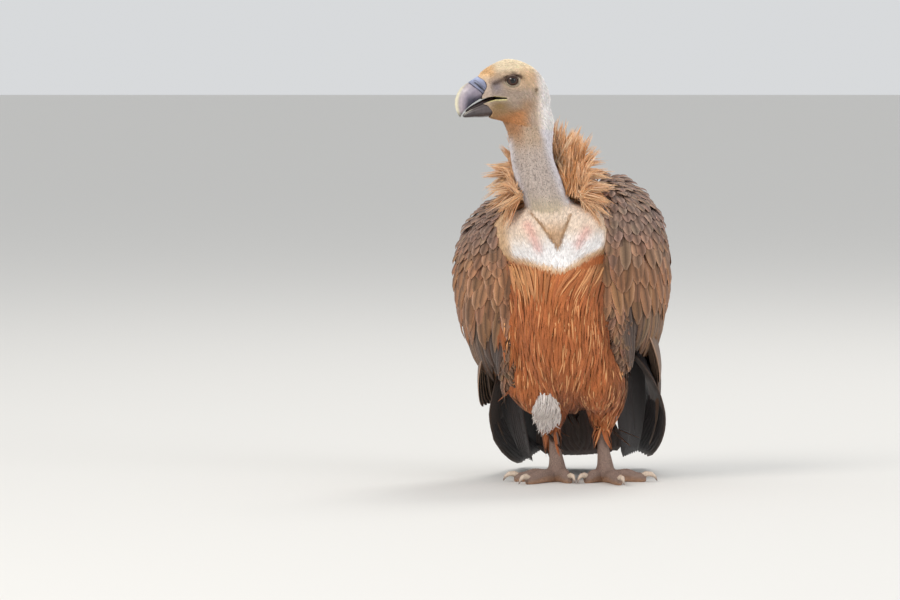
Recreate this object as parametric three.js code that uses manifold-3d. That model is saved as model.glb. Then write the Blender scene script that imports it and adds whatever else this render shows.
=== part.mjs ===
// A griffon vulture, life size, as a museum's still model: a young bird that stands upright on flat ground with its
// wings half let down and its head turned to its own right.
// Millimetres. +Z is up, -Y is the way that the bird faces and +X is its left. The floor is Z = 0, and the origin lies
// on it under the middle of the bird's box.
import * as THREE from "three";
import { mergeVertices } from "three/addons/utils/BufferGeometryUtils.js";
import Module from "manifold-3d";

const wasm = await Module();
wasm.setup();

// ---------- driving dimensions ----------
const GAP = 0.4; // between pieces that touch
const SLIVER = 0.18; // a cut leaves no detail finer than this
const BOX_MIDDLE_Y = 108; // from the body's own origin back to the middle of the bird's box

const BODY = {
  pivot: new THREE.Vector3(9, 0, 250), // the body leans and turns about this point
  turn: -5, // degrees about Z: the breast looks a little to the bird's right
  lean: -3, // degrees about Y: the bird's left side is the higher one
};
const HEAD = {
  eyeMiddle: new THREE.Vector3(-95, -62, 701), // midway between the eyes
  turn: -78, // degrees about Z from straight ahead: nearly side on
  eyeApart: 25, // from the middle plane to each eye's centre
  eyeRadius: 11.5,
};
// The right wing hangs a little lower and closer than the left.
const WING_SHIFT = { right: new THREE.Vector3(6, 0, -24), left: new THREE.Vector3(0, 0, 4) };
// Its flight feathers bow out less, too.
const QUILL_BOW = { right: -22, left: 10 };
const LEG = { pad: 20, padHeight: 26, shankTop: 9, shankFoot: 14 };
const TOE_RADIUS = 9.5;
const FEET = {
  right: { ankle: new THREE.Vector3(-10, 34, 0), hock: new THREE.Vector3(-18, 62, 118) },
  left: { ankle: new THREE.Vector3(74, 26, 0), hock: new THREE.Vector3(66, 58, 122) },
};
// The angle of each toe from straight ahead, counted towards the bird's left, its length and its claw's length.
const TOES = {
  right: {
    inner: { angle: 22, length: 60, claw: 28 },
    middle: { angle: -34, length: 96, claw: 31 },
    outer: { angle: -78, length: 76, claw: 27 },
    hind: { angle: 158, length: 36, claw: 30 },
  },
  left: {
    inner: { angle: -40, length: 56, claw: 28 },
    middle: { angle: 15, length: 94, claw: 31 },
    outer: { angle: 80, length: 72, claw: 27 },
    hind: { angle: -160, length: 36, claw: 30 },
  },
};

// ---------- finishes ----------
function finish(colour, roughness) {
  return new THREE.MeshStandardMaterial({ color: colour, roughness, metalness: 0 });
}
const DOWN = finish(0xcbb79f, 0.9);
const BUFF = finish(0xcfa878, 0.9);
const RUFF = finish(0xd69a66, 0.9);
const RUFOUS = finish(0x8a4a22, 0.9);
const CREAM = finish(0xe6dccf, 0.9);
const COVERT = finish(0x957357, 0.85);
const SECONDARY = finish(0x5b4637, 0.8);
const PRIMARY = finish(0x241d1c, 0.75);
const HORN = finish(0x8f8a93, 0.4);
const CERE = finish(0x8d93a8, 0.5);
const EYE = finish(0x24150f, 0.08);
const SCUTE = finish(0x9b8574, 0.7);
const CLAW = finish(0xb9a994, 0.4);

// ---------- shapes ----------
const degrees = THREE.MathUtils.degToRad;
const vector = (x, y, z) => new THREE.Vector3(x, y, z);

// A smooth run through evenly spaced numbers.
function run(values, t) {
  const last = values.length - 1;
  const k = Math.min(Math.floor(t * last), last - 1);
  const pick = (i) => values[Math.min(Math.max(i, 0), last)];
  return THREE.MathUtils.clamp(
    catmull(pick(k - 1), pick(k), pick(k + 1), pick(k + 2), t * last - k),
    Math.min(...values),
    Math.max(...values),
  );
}
function catmull(a, b, c, d, f) {
  const slopeB = (c - a) / 2;
  const slopeC = (d - b) / 2;
  const rise = b - c;
  return ((2 * rise + slopeB + slopeC) * f + (-3 * rise - 2 * slopeB - slopeC)) * f * f + slopeB * f + b;
}

// A closed body of rings. section(t) gives a ring's centre, its side and up directions, and how far it reaches to
// the sides (wide), up (over) and down (under). A sag pulls the ring's two ends down into a crescent.
function loft(section, rings, sides, grow = 0) {
  const shape = new THREE.CylinderGeometry(1, 1, 1, sides, rings);
  const at = shape.getAttribute("position");
  for (let i = 0; i < at.count; i++) {
    const ring = section(0.5 - at.getY(i));
    const high = at.getZ(i);
    const across = at.getX(i) * (1 - (ring.ridge ?? 0) * Math.max(high, 0));
    const reach = (high > 0 ? ring.over : ring.under) + grow;
    const sag = (across > 0 ? ring.sagOut ?? 0 : ring.sagIn ?? 0) * across * across;
    const point = ring.centre.clone();
    point.addScaledVector(ring.side, across * (ring.wide + grow));
    point.addScaledVector(ring.up, high * reach * (1 - (ring.taper ?? 0) * across) - sag);
    if (ring.floor !== undefined) point.z = Math.max(point.z, ring.floor);
    at.setXYZ(i, point.x, point.y, point.z);
  }
  return shape;
}

// Rings along a curve, whose up direction stays as near to lift as the curve lets it.
function along(points, lift, sizes) {
  const curve = new THREE.CatmullRomCurve3(points, false, "centripetal");
  return (t) => {
    const way = curve.getTangent(t);
    const side = new THREE.Vector3().crossVectors(way, lift).normalize();
    const up = new THREE.Vector3().crossVectors(side, way);
    return { centre: curve.getPoint(t), side, up, ...sizes(t) };
  };
}

// Rings that stand between a top line and a bottom line, which lie in the plane square to side.
function between(top, bottom, wide, side, ridge = 0) {
  const above = new THREE.CatmullRomCurve3(top, false, "centripetal");
  const below = new THREE.CatmullRomCurve3(bottom, false, "centripetal");
  return (t) => {
    const high = above.getPoint(t);
    const low = below.getPoint(t);
    const half = high.distanceTo(low) / 2;
    const up = new THREE.Vector3().subVectors(high, low).normalize();
    return { centre: high.lerp(low, 0.5), side, up, wide: run(wide, t), over: half, under: half, ridge };
  };
}

// A geometry as a solid that faces outwards.
function solid(shape) {
  const bare = new THREE.BufferGeometry();
  bare.setAttribute("position", shape.getAttribute("position"));
  bare.setIndex(shape.index);
  const merged = mergeVertices(bare, 1e-3);
  const triangles = Array.from(merged.index.array);
  const kept = [];
  for (let i = 0; i < triangles.length; i += 3) {
    const [a, b, c] = triangles.slice(i, i + 3);
    if (a !== b && b !== c && c !== a) kept.push(a, b, c);
  }
  const place = merged.getAttribute("position");
  const corner = (i) => new THREE.Vector3().fromBufferAttribute(place, i);
  let volume = 0;
  for (let i = 0; i < kept.length; i += 3) {
    volume += corner(kept[i]).dot(corner(kept[i + 1]).cross(corner(kept[i + 2])));
  }
  if (volume < 0) kept.reverse();
  return new wasm.Manifold(
    new wasm.Mesh({ numProp: 3, vertProperties: new Float32Array(place.array), triVerts: new Uint32Array(kept) }),
  );
}
const join = (solids) => solids.reduce((a, b) => a.add(b));
const cut = (whole, cutters) => cutters.reduce((a, b) => a.subtract(b), whole);
// The biggest piece that a cut leaves.
function biggest(cutUp) {
  return cutUp.decompose().reduce((a, b) => (b.volume() > a.volume() ? b : a));
}
// The half of space on the side of a point that a direction shows.
function beyond(point, way) {
  const size = 2000;
  const box = new THREE.BoxGeometry(size, size, size).translate(0, 0, size / 2);
  const turn = new THREE.Quaternion().setFromUnitVectors(vector(0, 0, 1), way.clone().normalize());
  return solid(box.applyQuaternion(turn).translate(point.x, point.y, point.z));
}

// ---------- frames ----------
const bodyFrame = new THREE.Matrix4()
  .makeTranslation(BODY.pivot)
  .multiply(new THREE.Matrix4().makeRotationZ(degrees(BODY.turn)))
  .multiply(new THREE.Matrix4().makeRotationY(degrees(BODY.lean)))
  .multiply(new THREE.Matrix4().makeTranslation(BODY.pivot.clone().negate()));
const headFrame = new THREE.Matrix4()
  .makeTranslation(HEAD.eyeMiddle)
  .multiply(new THREE.Matrix4().makeRotationZ(degrees(HEAD.turn)));
const onBody = (shape) => solid(shape.applyMatrix4(bodyFrame));
const onHead = (shape) => solid(shape.applyMatrix4(headFrame));
// A point of the head: ahead of the eyes, to the bird's left of them and above them.
const face = (ahead, left, above) => vector(left, -ahead, above);

// ---------- trunk, crop and tail ----------
const BACK_LINE = [[36, 536], [74, 500], [104, 440], [122, 372], [140, 304], [166, 238], [196, 184], [212, 146]];
const BREAST_LINE = [[-22, 520], [-84, 476], [-122, 420], [-132, 356], [-128, 292], [-104, 218], [-34, 150], [96, 112]];
const TRUNK_WIDTHS = [40, 84, 101, 106, 105, 96, 74, 32];
function trunk(grow = 0) {
  const line = (points) => points.map(([back, high]) => vector(0, back, high));
  const section = between(line(BACK_LINE), line(BREAST_LINE), TRUNK_WIDTHS, vector(1, 0, 0));
  return onBody(loft(section, 12, 18, grow));
}

// The crop is two full lobes side by side, with a fold between them.
function crop(grow = 0) {
  const points = [vector(-98, -50, 452), vector(-46, -76, 434), vector(0, -82, 440), vector(46, -76, 436), vector(96, -50, 456)];
  const sizes = (t) => ({
    wide: run([18, 46, 56, 46, 56, 46, 18], t),
    over: run([26, 50, 56, 48, 56, 50, 26], t),
    under: run([26, 50, 60, 50, 60, 50, 26], t),
  });
  return onBody(loft(along(points, vector(0, 0, 1), sizes), 12, 14, grow));
}

// A feather, or a bundle of them, as a lens-shaped blade: it bows from root to tip past the bend, and its flat side
// looks the way that face says.
function blade({ root, bend, tip, width, thick, face, point = 0.35 }, grow = 0, rings = 4, sides = 6) {
  const spine = new THREE.QuadraticBezierCurve3(root, bend, tip);
  const section = (t) => {
    const way = spine.getTangent(t);
    const side = new THREE.Vector3().crossVectors(way, face).normalize();
    const up = new THREE.Vector3().crossVectors(side, way);
    const swell = Math.min(1, 0.45 + 2.2 * t) * Math.min(1, Math.sqrt((1.02 - t) / point));
    return {
      centre: spine.getPoint(t), side, up,
      wide: (width / 2) * swell,
      over: (thick / 2) * Math.min(1, 0.25 + (1 - t) * 1.6),
      under: (thick / 2) * Math.min(1, 0.25 + (1 - t) * 1.6),
    };
  };
  return loft(section, rings, sides, grow);
}

const TAIL = { feathers: 7, spread: 60, tip: vector(0, 318, 24), width: 52, thick: 8 };
function tail(grow = 0) {
  const feathers = [];
  for (let i = 0; i < TAIL.feathers; i++) {
    const out = (2 * i) / (TAIL.feathers - 1) - 1; // -1 at one edge and 1 at the other
    const tip = TAIL.tip.clone().add(vector(out * TAIL.spread, -12 * out * out, 6 * out * out));
    feathers.push(onBody(blade({
      root: vector(out * 24, 104, 168),
      bend: vector(out * 34, 178, 116),
      tip, width: TAIL.width, thick: TAIL.thick, face: vector(0.25 * out, 0.75, 1), point: 0.16,
    }, grow)));
  }
  return join(feathers);
}

// ---------- wings ----------
// The folded arm with its coverts: a thick shell that hugs the flank, blunt in front and thin behind.
const ARM = {
  heights: [530, 508, 468, 410, 350, 292, 240, 196],
  out: [92, 108, 127, 136, 139, 137, 132, 126],
  back: [30, 22, 12, 12, 26, 50, 80, 112],
  thick: [14, 34, 50, 55, 53, 46, 36, 20],
  long: [30, 70, 96, 106, 112, 112, 104, 70],
  wrap: [0.2, 0.6, 0.75, 0.75, 0.65, 0.5, 0.3, 0.2],
};
function onWing(side, shape) {
  const shift = side < 0 ? WING_SHIFT.right : WING_SHIFT.left;
  return onBody(shape.translate(shift.x, shift.y, shift.z));
}
function arm(side, grow = 0) {
  const section = (t) => ({
    centre: vector(side * run(ARM.out, t), run(ARM.back, t), run(ARM.heights, t)),
    side: vector(0, 1, 0),
    up: vector(side, 0, 0),
    wide: run(ARM.long, t),
    over: run(ARM.thick, t),
    under: run(ARM.thick, t),
    taper: 0.3,
    sagIn: 0.5 * run(ARM.thick, t),
    sagOut: run(ARM.wrap, t) * run(ARM.long, t),
  });
  return onWing(side, loft(section, 11, 14, grow));
}

// The hand along the wing's front edge, with its small coverts and the bastard wing.
function hand(side, grow = 0) {
  const points = [vector(side * 100, -66, 372), vector(side * 100, -62, 300), vector(side * 104, -42, 236),
    vector(side * 112, -14, 184)];
  const sizes = (t) => ({
    wide: run([10, 24, 26, 8], t),
    over: run([8, 17, 15, 5], t),
    under: run([8, 17, 15, 5], t),
  });
  return onWing(side, loft(along(points, vector(side, -0.6, 0), sizes), 8, 10, grow));
}

const bow = (side) => (side < 0 ? QUILL_BOW.right : QUILL_BOW.left);
const SECONDARIES = 7;
function secondaries(side, grow = 0) {
  const feathers = [];
  for (let i = 0; i < SECONDARIES; i++) {
    const back = i / (SECONDARIES - 1); // 0 beside the hand and 1 at the elbow
    feathers.push(onWing(side, blade({
      root: vector(side * (134 - 24 * back), 10 + 110 * back, 292 + 46 * back),
      bend: vector(side * (170 - 46 * back), 50 + 118 * back, 226 + 30 * back),
      tip: vector(side * (158 - 68 * back), 92 + 148 * back, 160 + 22 * back),
      width: 48, thick: 13, face: vector(side, 0.5 * back, 0), point: 0.2,
    }, grow)));
  }
  return join(feathers);
}

const WING_TIP_HEIGHT = 17;
const PRIMARIES = 6;
function primaries(side, grow = 0) {
  const feathers = [];
  const low = WING_TIP_HEIGHT - (side < 0 ? WING_SHIFT.right : WING_SHIFT.left).z;
  for (let i = 0; i < PRIMARIES; i++) {
    const back = i / (PRIMARIES - 1); // 0 on the leading edge and 1 under the secondaries
    feathers.push(onWing(side, blade({
      root: vector(side * 118, 4 + 30 * back, 216 + 26 * back),
      bend: vector(side * (168 - 30 * back + bow(side)), 116 + 70 * back, 118 + 62 * back),
      tip: vector(side * (114 - 44 * back), 342 - 58 * back * back, low + 26 * back),
      width: 58, thick: 12, face: vector(side, 0.9, 0.1), point: 0.5,
    }, grow)));
  }
  return join(feathers);
}

// ---------- neck and head ----------
const NAPE_LINE = [[6, 448], [14, 478], [6, 512], [-10, 545], [-20, 578], [-17, 610], [-17, 642], [-40, 682]];
const THROAT_LINE = [[-20, 424], [-52, 462], [-74, 500], [-88, 536], [-94, 572], [-96, 606], [-108, 640], [-100, 666]];
const NECK_BACK = [-88, -88, -88, -84, -76, -66, -60, -60]; // the neck's middle, front to back
const NECK_DEPTHS = [16, 34, 37, 37, 36, 36, 35, 22];
function neck(grow = 0) {
  const line = (points) => points.map(([across, high], i) => vector(across, NECK_BACK[i], high));
  const section = between(line(NAPE_LINE), line(THROAT_LINE), NECK_DEPTHS, vector(0, 1, 0));
  return solid(loft(section, 11, 14, grow));
}
const HEAD_CUT = { point: vector(-58, -66, 622), way: vector(0.2, 0, 1) };
const NECK_CUT = { point: vector(-48, -80, 552), way: vector(0.35, -0.05, 1) };

// The skull with its cheeks and throat, from the nape forward to the bill's root.
const CROWN_LINE = [[-73, -32], [-62, 2], [-44, 22], [-18, 35], [6, 37.5], [26, 30], [42, 21], [58, 8]];
const CHEEK_LINE = [[-70, -48], [-56, -72], [-38, -84], [-14, -90], [8, -84], [26, -74], [40, -64], [46, -56]];
function faceLine(points) {
  return points.map(([ahead, above]) => face(ahead, 0, above));
}
function skull() {
  const wide = [12, 28, 34, 35, 34, 28, 21, 13];
  return onHead(loft(between(faceLine(CROWN_LINE), faceLine(CHEEK_LINE), wide, vector(1, 0, 0)), 12, 14));
}

const CULMEN = [[36, 10], [50, 10], [61, 4], [72, -3], [84, -11], [92, -23], [95.7, -36], [94.6, -47], [91, -57], [86.5, -64]];
const BITE = [[34, -27], [43, -29], [52, -33], [60, -38], [66, -42], [72, -47], [77, -51.5], [81, -56], [83.5, -60], [85.5, -64.5]];
function bill(grow = 0) {
  const wide = [17, 16.5, 16, 15, 13, 10.5, 8, 5.5, 3.4, 1.2];
  return onHead(loft(between(faceLine(CULMEN), faceLine(BITE), wide, vector(1, 0, 0), 0.4), 11, 12, grow));
}
// The cere is the bill's soft saddle, behind a slanting seam.
const CERE_SEAM = { point: face(72, 0, -3), way: face(-0.64, 0, 0.77) };
function nostril(side) {
  const slit = new THREE.SphereGeometry(1, 8, 6).scale(4, 2.6, 9.5);
  slit.rotateX(degrees(47));
  const place = face(54, side * 15, -10);
  return onHead(slit.translate(place.x, place.y, place.z));
}

const JAW_TOP = [[4, -33], [24, -33], [38, -35], [52, -40.5], [64, -46], [75, -53.5], [82, -60]];
const JAW_BOTTOM = [[4, -50], [24, -60], [40, -64], [54, -64], [66, -64], [76, -64.5], [80, -64]];
function jaw(grow = 0) {
  const wide = [19, 18, 16.5, 14, 11.5, 8, 4];
  return onHead(loft(between(faceLine(JAW_TOP), faceLine(JAW_BOTTOM), wide, vector(1, 0, 0)), 7, 10, grow));
}
// The slit of the open mouth, which parts the cheeks as far back as the corner of the gape.
const MOUTH_TOP = [[13, -28.6], [26, -27.5], [38, -28.5], [50, -33.5], [60, -39.5]];
const MOUTH_BOTTOM = [[13, -30], [26, -32.5], [38, -35.5], [50, -41], [60, -46]];
function mouth() {
  const wide = [60, 60, 60, 60, 60];
  return onHead(loft(between(faceLine(MOUTH_TOP), faceLine(MOUTH_BOTTOM), wide, vector(1, 0, 0)), 5, 6));
}

function eye(side, grow = 0) {
  const ball = new THREE.SphereGeometry(HEAD.eyeRadius + grow, 12, 8).rotateZ(Math.PI / 2);
  return onHead(ball.translate(side * HEAD.eyeApart, 0, 0));
}

// ---------- ruff ----------
// A collar of long pointed feathers runs round behind the neck, from one side of the throat to the other. It is
// fullest on the bird's left. Each list below runs along the collar and says how far the tips reach from it.
const COLLAR = [
  vector(-84, -112, 500), vector(-92, -66, 530), vector(-80, -26, 556), vector(-38, -6, 572), vector(14, -22, 562),
  vector(38, -60, 538), vector(36, -112, 502),
];
const RAISED_TIPS = [26, 32, 44, 58, 64, 52, 40, 30];
const LEVEL_TIPS = [34, 50, 56, 58, 56, 50, 50, 42];
const HANGING_TIPS = [50, 60, 58, 54, 60, 66, 66, 58];
const COLLAR_INSIDE = 24;
const COLLAR_RINGS = 24;
function ruff() {
  const curve = new THREE.CatmullRomCurve3(COLLAR, false, "centripetal");
  const around = [LEVEL_TIPS, RAISED_TIPS, RAISED_TIPS, null, null, null, null, null, HANGING_TIPS, HANGING_TIPS];
  const shape = new THREE.CylinderGeometry(1, 1, 1, around.length, COLLAR_RINGS);
  const at = shape.getAttribute("position");
  for (let i = 0; i < at.count; i++) {
    const t = 0.5 - at.getY(i);
    const way = curve.getTangent(t);
    const out = vector(-way.y, way.x, 0).normalize();
    const angle = Math.atan2(at.getX(i), at.getZ(i));
    const step = Math.round((angle / (2 * Math.PI)) * around.length + around.length) % around.length;
    const tips = around[step];
    const tip = (Math.round(t * COLLAR_RINGS) + step) % 2 === 0; // the vertices between are notches
    const reach = tips ? run(tips, t) * (tip ? 1 : 0.52) : COLLAR_INSIDE;
    const length = Math.hypot(at.getX(i), at.getZ(i)) * reach;
    const point = curve.getPoint(t).addScaledVector(out, length * Math.cos(angle));
    at.setXYZ(i, point.x, point.y, point.z + length * Math.sin(angle));
  }
  return solid(shape);
}

// ---------- legs ----------
// The feathered leg, from the flank down to the hock.
function thigh(foot, side, grow = 0) {
  const flank = vector(side * 58, 4, 252).applyMatrix4(bodyFrame);
  const knee = vector(side * 56, -4, 190).applyMatrix4(bodyFrame);
  const points = [flank, knee, foot.hock.clone().add(vector(side * 5, -14, 22)), foot.hock.clone().add(vector(side * 4, 0, -34))];
  const sizes = (t) => ({
    wide: run([44, 52, 42, 16], t),
    over: run([50, 56, 46, 20], t),
    under: run([50, 54, 38, 16], t),
  });
  return solid(loft(along(points, vector(0, 1, 0), sizes), 8, 12, grow));
}

function shank(foot, grow = 0) {
  const points = [foot.hock.clone(), foot.hock.clone().lerp(foot.ankle, 0.45), foot.ankle.clone().setZ(30),
    foot.ankle.clone().setZ(14)];
  const sizes = (t) => ({
    wide: run([LEG.shankTop, LEG.shankTop, LEG.shankFoot, LEG.pad - 2], t),
    over: run([10, 10, 14, 17], t),
    under: run([10, 10, 13, 17], t),
  });
  return solid(loft(along(points, vector(0, 1, 0), sizes), 6, 10, grow));
}

// The ball of the foot, flat below.
function pad(foot, grow = 0) {
  const ball = new THREE.SphereGeometry(1, 12, 8).scale(LEG.pad + grow, LEG.pad + 2 + grow, LEG.padHeight / 2 + 3 + grow);
  ball.translate(foot.ankle.x, foot.ankle.y - 4, LEG.padHeight / 2);
  flatten(ball);
  return solid(ball);
}
function flatten(shape) {
  const at = shape.getAttribute("position");
  for (let i = 0; i < at.count; i++) at.setZ(i, Math.max(at.getZ(i), 0));
}

// A toe with a swelling at each joint, flat below.
function toe(foot, { angle, length }, grow = 0) {
  const out = toeWay(angle);
  const start = foot.ankle.clone().add(vector(0, -4, 0));
  const arch = (t) => TOE_RADIUS + 5 * Math.sin(Math.PI * Math.min(1, t * 1.3)) - 1.5;
  const side = new THREE.Vector3().crossVectors(out, vector(0, 0, 1));
  const section = (t) => {
    const swell = 1 + 0.08 * Math.cos(t * Math.PI * 4);
    const fat = TOE_RADIUS * (1.12 - 0.3 * t) * swell * Math.min(1, Math.sqrt((1.02 - t) / 0.1));
    return {
      centre: start.clone().addScaledVector(out, (LEG.pad - 8) + t * (length - LEG.pad + 8)).setZ(arch(t)),
      side, up: vector(0, 0, 1), wide: fat, over: fat, under: fat + 6, floor: 0,
    };
  };
  return solid(loft(section, 7, 8, grow));
}
function toeWay(angle) {
  return vector(Math.sin(degrees(angle)), -Math.cos(degrees(angle)), 0);
}

// A curved claw, whose point comes down to the floor.
function claw(foot, { angle, length, claw: reach }) {
  const out = toeWay(angle);
  const start = foot.ankle.clone().add(vector(0, -4, 0)).addScaledVector(out, length - 7);
  const step = (ahead, above) => start.clone().addScaledVector(out, ahead).setZ(above);
  const points = [step(0, 10), step(reach * 0.42, 15), step(reach * 0.8, 11), step(reach, 2.2)];
  const sizes = (t) => ({
    wide: run([5.2, 4.6, 3.2, 0.9], t),
    over: run([6.2, 5.2, 3.6, 1], t),
    under: run([6.2, 5.2, 3.6, 1], t),
  });
  return solid(loft(along(points, vector(0, 0, 1), sizes), 4, 6));
}

// ---------- assembly ----------
const griffon = new THREE.Group();
griffon.position.y = -BOX_MIDDLE_Y;
function add(name, whole, material) {
  const { vertProperties, triVerts, numProp } = whole.simplify(SLIVER).getMesh();
  const shape = new THREE.BufferGeometry();
  const at = new Float32Array((vertProperties.length / numProp) * 3);
  for (let i = 0; i < at.length / 3; i++) at.set(vertProperties.subarray(i * numProp, i * numProp + 3), i * 3);
  shape.setAttribute("position", new THREE.BufferAttribute(at, 3));
  shape.setIndex(new THREE.BufferAttribute(triVerts, 1));
  const flat = shape.toNonIndexed();
  flat.computeVertexNormals();
  const mesh = new THREE.Mesh(flat, material);
  mesh.name = name;
  griffon.add(mesh);
}
const SIDES = { right: -1, left: 1 };

const trunkSpace = trunk(GAP);
const cropSpace = crop(GAP);
add("trunk", trunk(), RUFOUS);
add("crop", cut(crop(), [trunkSpace]), CREAM);

// The head and neck are one form, parted at the jaw and half way down.
const wholeNeck = cut(neck(), [trunkSpace, cropSpace]);
const headAndNeck = wholeNeck.add(skull());
const aboveHead = beyond(HEAD_CUT.point, HEAD_CUT.way);
const belowHead = beyond(HEAD_CUT.point.clone().addScaledVector(HEAD_CUT.way, -GAP), HEAD_CUT.way.clone().negate());
const aboveMiddle = beyond(NECK_CUT.point, NECK_CUT.way);
const belowMiddle = beyond(NECK_CUT.point.clone().addScaledVector(NECK_CUT.way, -GAP), NECK_CUT.way.clone().negate());
add("neck_lower", biggest(wholeNeck.intersect(belowMiddle)), DOWN);
add("neck_upper", biggest(wholeNeck.intersect(belowHead).intersect(aboveMiddle)), DOWN);
const sockets = [-1, 1].map((side) => eye(side, GAP));
const gape = mouth();
add("head", biggest(cut(headAndNeck.intersect(aboveHead), [...sockets, bill(GAP), jaw(GAP), gape])), BUFF);
for (const [name, side] of Object.entries(SIDES)) add(`eye_${name}`, eye(side), EYE);

const wholeBill = cut(bill(), [gape, ...sockets]);
const nostrils = [-1, 1].map((side) => nostril(side));
const behindSeam = beyond(CERE_SEAM.point.clone().applyMatrix4(headFrame), CERE_SEAM.way.clone().transformDirection(headFrame));
const seam = CERE_SEAM.point.clone().addScaledVector(CERE_SEAM.way, -GAP);
const aheadOfSeam = beyond(seam.applyMatrix4(headFrame), CERE_SEAM.way.clone().negate().transformDirection(headFrame));
add("cere", biggest(cut(wholeBill.intersect(behindSeam), nostrils)), CERE);
add("beak_upper", biggest(wholeBill.intersect(aheadOfSeam)), HORN);
add("beak_lower", biggest(cut(jaw(), [gape, bill(GAP)])), HORN);

const wingSpaces = [];
for (const [name, side] of Object.entries(SIDES)) {
  const armSpace = arm(side, GAP);
  const handSpace = hand(side, GAP);
  const secondarySpace = secondaries(side, GAP);
  const flesh = [trunkSpace, cropSpace];
  add(`wing_coverts_${name}`, biggest(cut(arm(side), flesh)), COVERT);
  add(`wing_hand_${name}`, biggest(cut(hand(side), [...flesh, armSpace])), COVERT);
  add(`secondaries_${name}`, biggest(cut(secondaries(side), [...flesh, armSpace, handSpace])), SECONDARY);
  const above = [...flesh, armSpace, handSpace, secondarySpace];
  add(`primaries_${name}`, biggest(cut(primaries(side), above)), PRIMARY);
  wingSpaces.push(...above.slice(2), primaries(side, GAP));
}
add("tail", biggest(cut(tail(), [trunkSpace, ...wingSpaces])), PRIMARY);
add("ruff", biggest(cut(ruff(), [trunkSpace, cropSpace, neck(GAP), ...wingSpaces])), RUFF);

for (const [name, side] of Object.entries(SIDES)) {
  const foot = FEET[name];
  const thighSpace = thigh(foot, side, GAP);
  const shankSpace = shank(foot, GAP);
  add(`thigh_${name}`, biggest(cut(thigh(foot, side), [trunkSpace, ...wingSpaces])), RUFOUS);
  add(`shank_${name}`, biggest(cut(shank(foot), [thighSpace, trunkSpace])), SCUTE);
  const toes = Object.values(TOES[name]);
  add(`foot_${name}`, biggest(cut(join([pad(foot), ...toes.map((each) => toe(foot, each))]), [shankSpace])), SCUTE);
  for (const [which, each] of Object.entries(TOES[name])) {
    add(`claw_${which}_${name}`, biggest(cut(claw(foot, each), [toe(foot, each, GAP)])), CLAW);
  }
}

export default griffon;
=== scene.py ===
# %% [markdown]
# # A griffon vulture, life size
# A young griffon vulture stands upright with its wings half let down and its head turned to its right.
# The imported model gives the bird's solid forms. This file dresses them: one skin over all the flesh,
# eyes, bill and claws, and then the plumage, which is many thin solid vanes that lie over the skin in the
# way that feathers do.

# %% Load the frame
import math

import bmesh
import bpy
import numpy as np
from mathutils import Matrix, Vector, kdtree
from mathutils.bvhtree import BVHTree


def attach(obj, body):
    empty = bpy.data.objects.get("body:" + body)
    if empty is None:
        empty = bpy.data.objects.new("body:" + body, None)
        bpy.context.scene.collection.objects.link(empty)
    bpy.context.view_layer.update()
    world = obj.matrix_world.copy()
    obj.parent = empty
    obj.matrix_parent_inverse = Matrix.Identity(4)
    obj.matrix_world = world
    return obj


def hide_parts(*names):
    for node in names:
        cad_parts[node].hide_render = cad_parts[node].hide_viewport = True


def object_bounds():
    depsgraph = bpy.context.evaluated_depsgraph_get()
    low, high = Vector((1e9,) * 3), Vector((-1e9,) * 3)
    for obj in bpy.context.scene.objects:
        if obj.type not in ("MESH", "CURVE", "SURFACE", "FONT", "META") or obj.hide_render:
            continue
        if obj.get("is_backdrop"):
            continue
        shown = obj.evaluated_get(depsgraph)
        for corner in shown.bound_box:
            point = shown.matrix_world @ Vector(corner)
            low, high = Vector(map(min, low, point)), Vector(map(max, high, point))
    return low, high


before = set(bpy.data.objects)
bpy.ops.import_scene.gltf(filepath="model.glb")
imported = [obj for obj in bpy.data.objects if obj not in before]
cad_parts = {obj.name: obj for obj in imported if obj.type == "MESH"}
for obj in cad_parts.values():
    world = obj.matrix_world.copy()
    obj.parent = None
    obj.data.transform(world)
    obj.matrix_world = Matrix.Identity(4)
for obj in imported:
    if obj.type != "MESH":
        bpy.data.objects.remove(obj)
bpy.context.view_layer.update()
chance = np.random.default_rng(20)
print("nodes:", len(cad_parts))

# %% [markdown]
# ## The bird's own directions
# The body leans and turns a little, and the head is turned nearly side on. Places on them are easier to
# say in their own frames, so two matrices turn millimetres on the body or the head into metres in the
# scene. On the head, x is towards the bird's left, -y is ahead of the eyes and z is above them.

# %% Frames of the body and the head
MM = 0.001
BOX_MIDDLE_Y = 108
BODY_PIVOT = Vector((9, 0, 250))
BODY_TURN = -5
BODY_LEAN = -3
EYE_MIDDLE = Vector((-95, -62, 701))
HEAD_TURN = -78
EYE_APART = 25
WING_SHIFT = {"right": np.array((6, 0, -24)), "left": np.array((0, 0, 4))}
SIDES = {"right": -1, "left": 1}

to_scene = Matrix.Scale(MM, 4) @ Matrix.Translation((0, -BOX_MIDDLE_Y, 0))
lean = Matrix.Rotation(math.radians(BODY_TURN), 4, "Z") @ Matrix.Rotation(math.radians(BODY_LEAN), 4, "Y")
BODY = to_scene @ Matrix.Translation(BODY_PIVOT) @ lean @ Matrix.Translation(-BODY_PIVOT)
HEAD = to_scene @ Matrix.Translation(EYE_MIDDLE) @ Matrix.Rotation(math.radians(HEAD_TURN), 4, "Z")
FLOOR_SPACE = to_scene


def placed(matrix, points):
    """Points, one a row, after a matrix."""
    m = np.array(matrix)
    return np.asarray(points, float) @ m[:3, :3].T + m[:3, 3]


def floor_place(points):
    """Places of the scene in millimetres, with the floor at 0."""
    return placed(FLOOR_SPACE.inverted(), points)


def body_place(points):
    """The same in the body's own frame."""
    return placed(BODY.inverted(), points)


def head_place(points):
    """The same in the head's own frame."""
    return placed(HEAD.inverted(), points)


def turned(matrix, ways):
    """Directions, one a row, after a matrix, made one long."""
    return unit(np.asarray(ways, float) @ np.array(matrix)[:3, :3].T)


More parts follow.
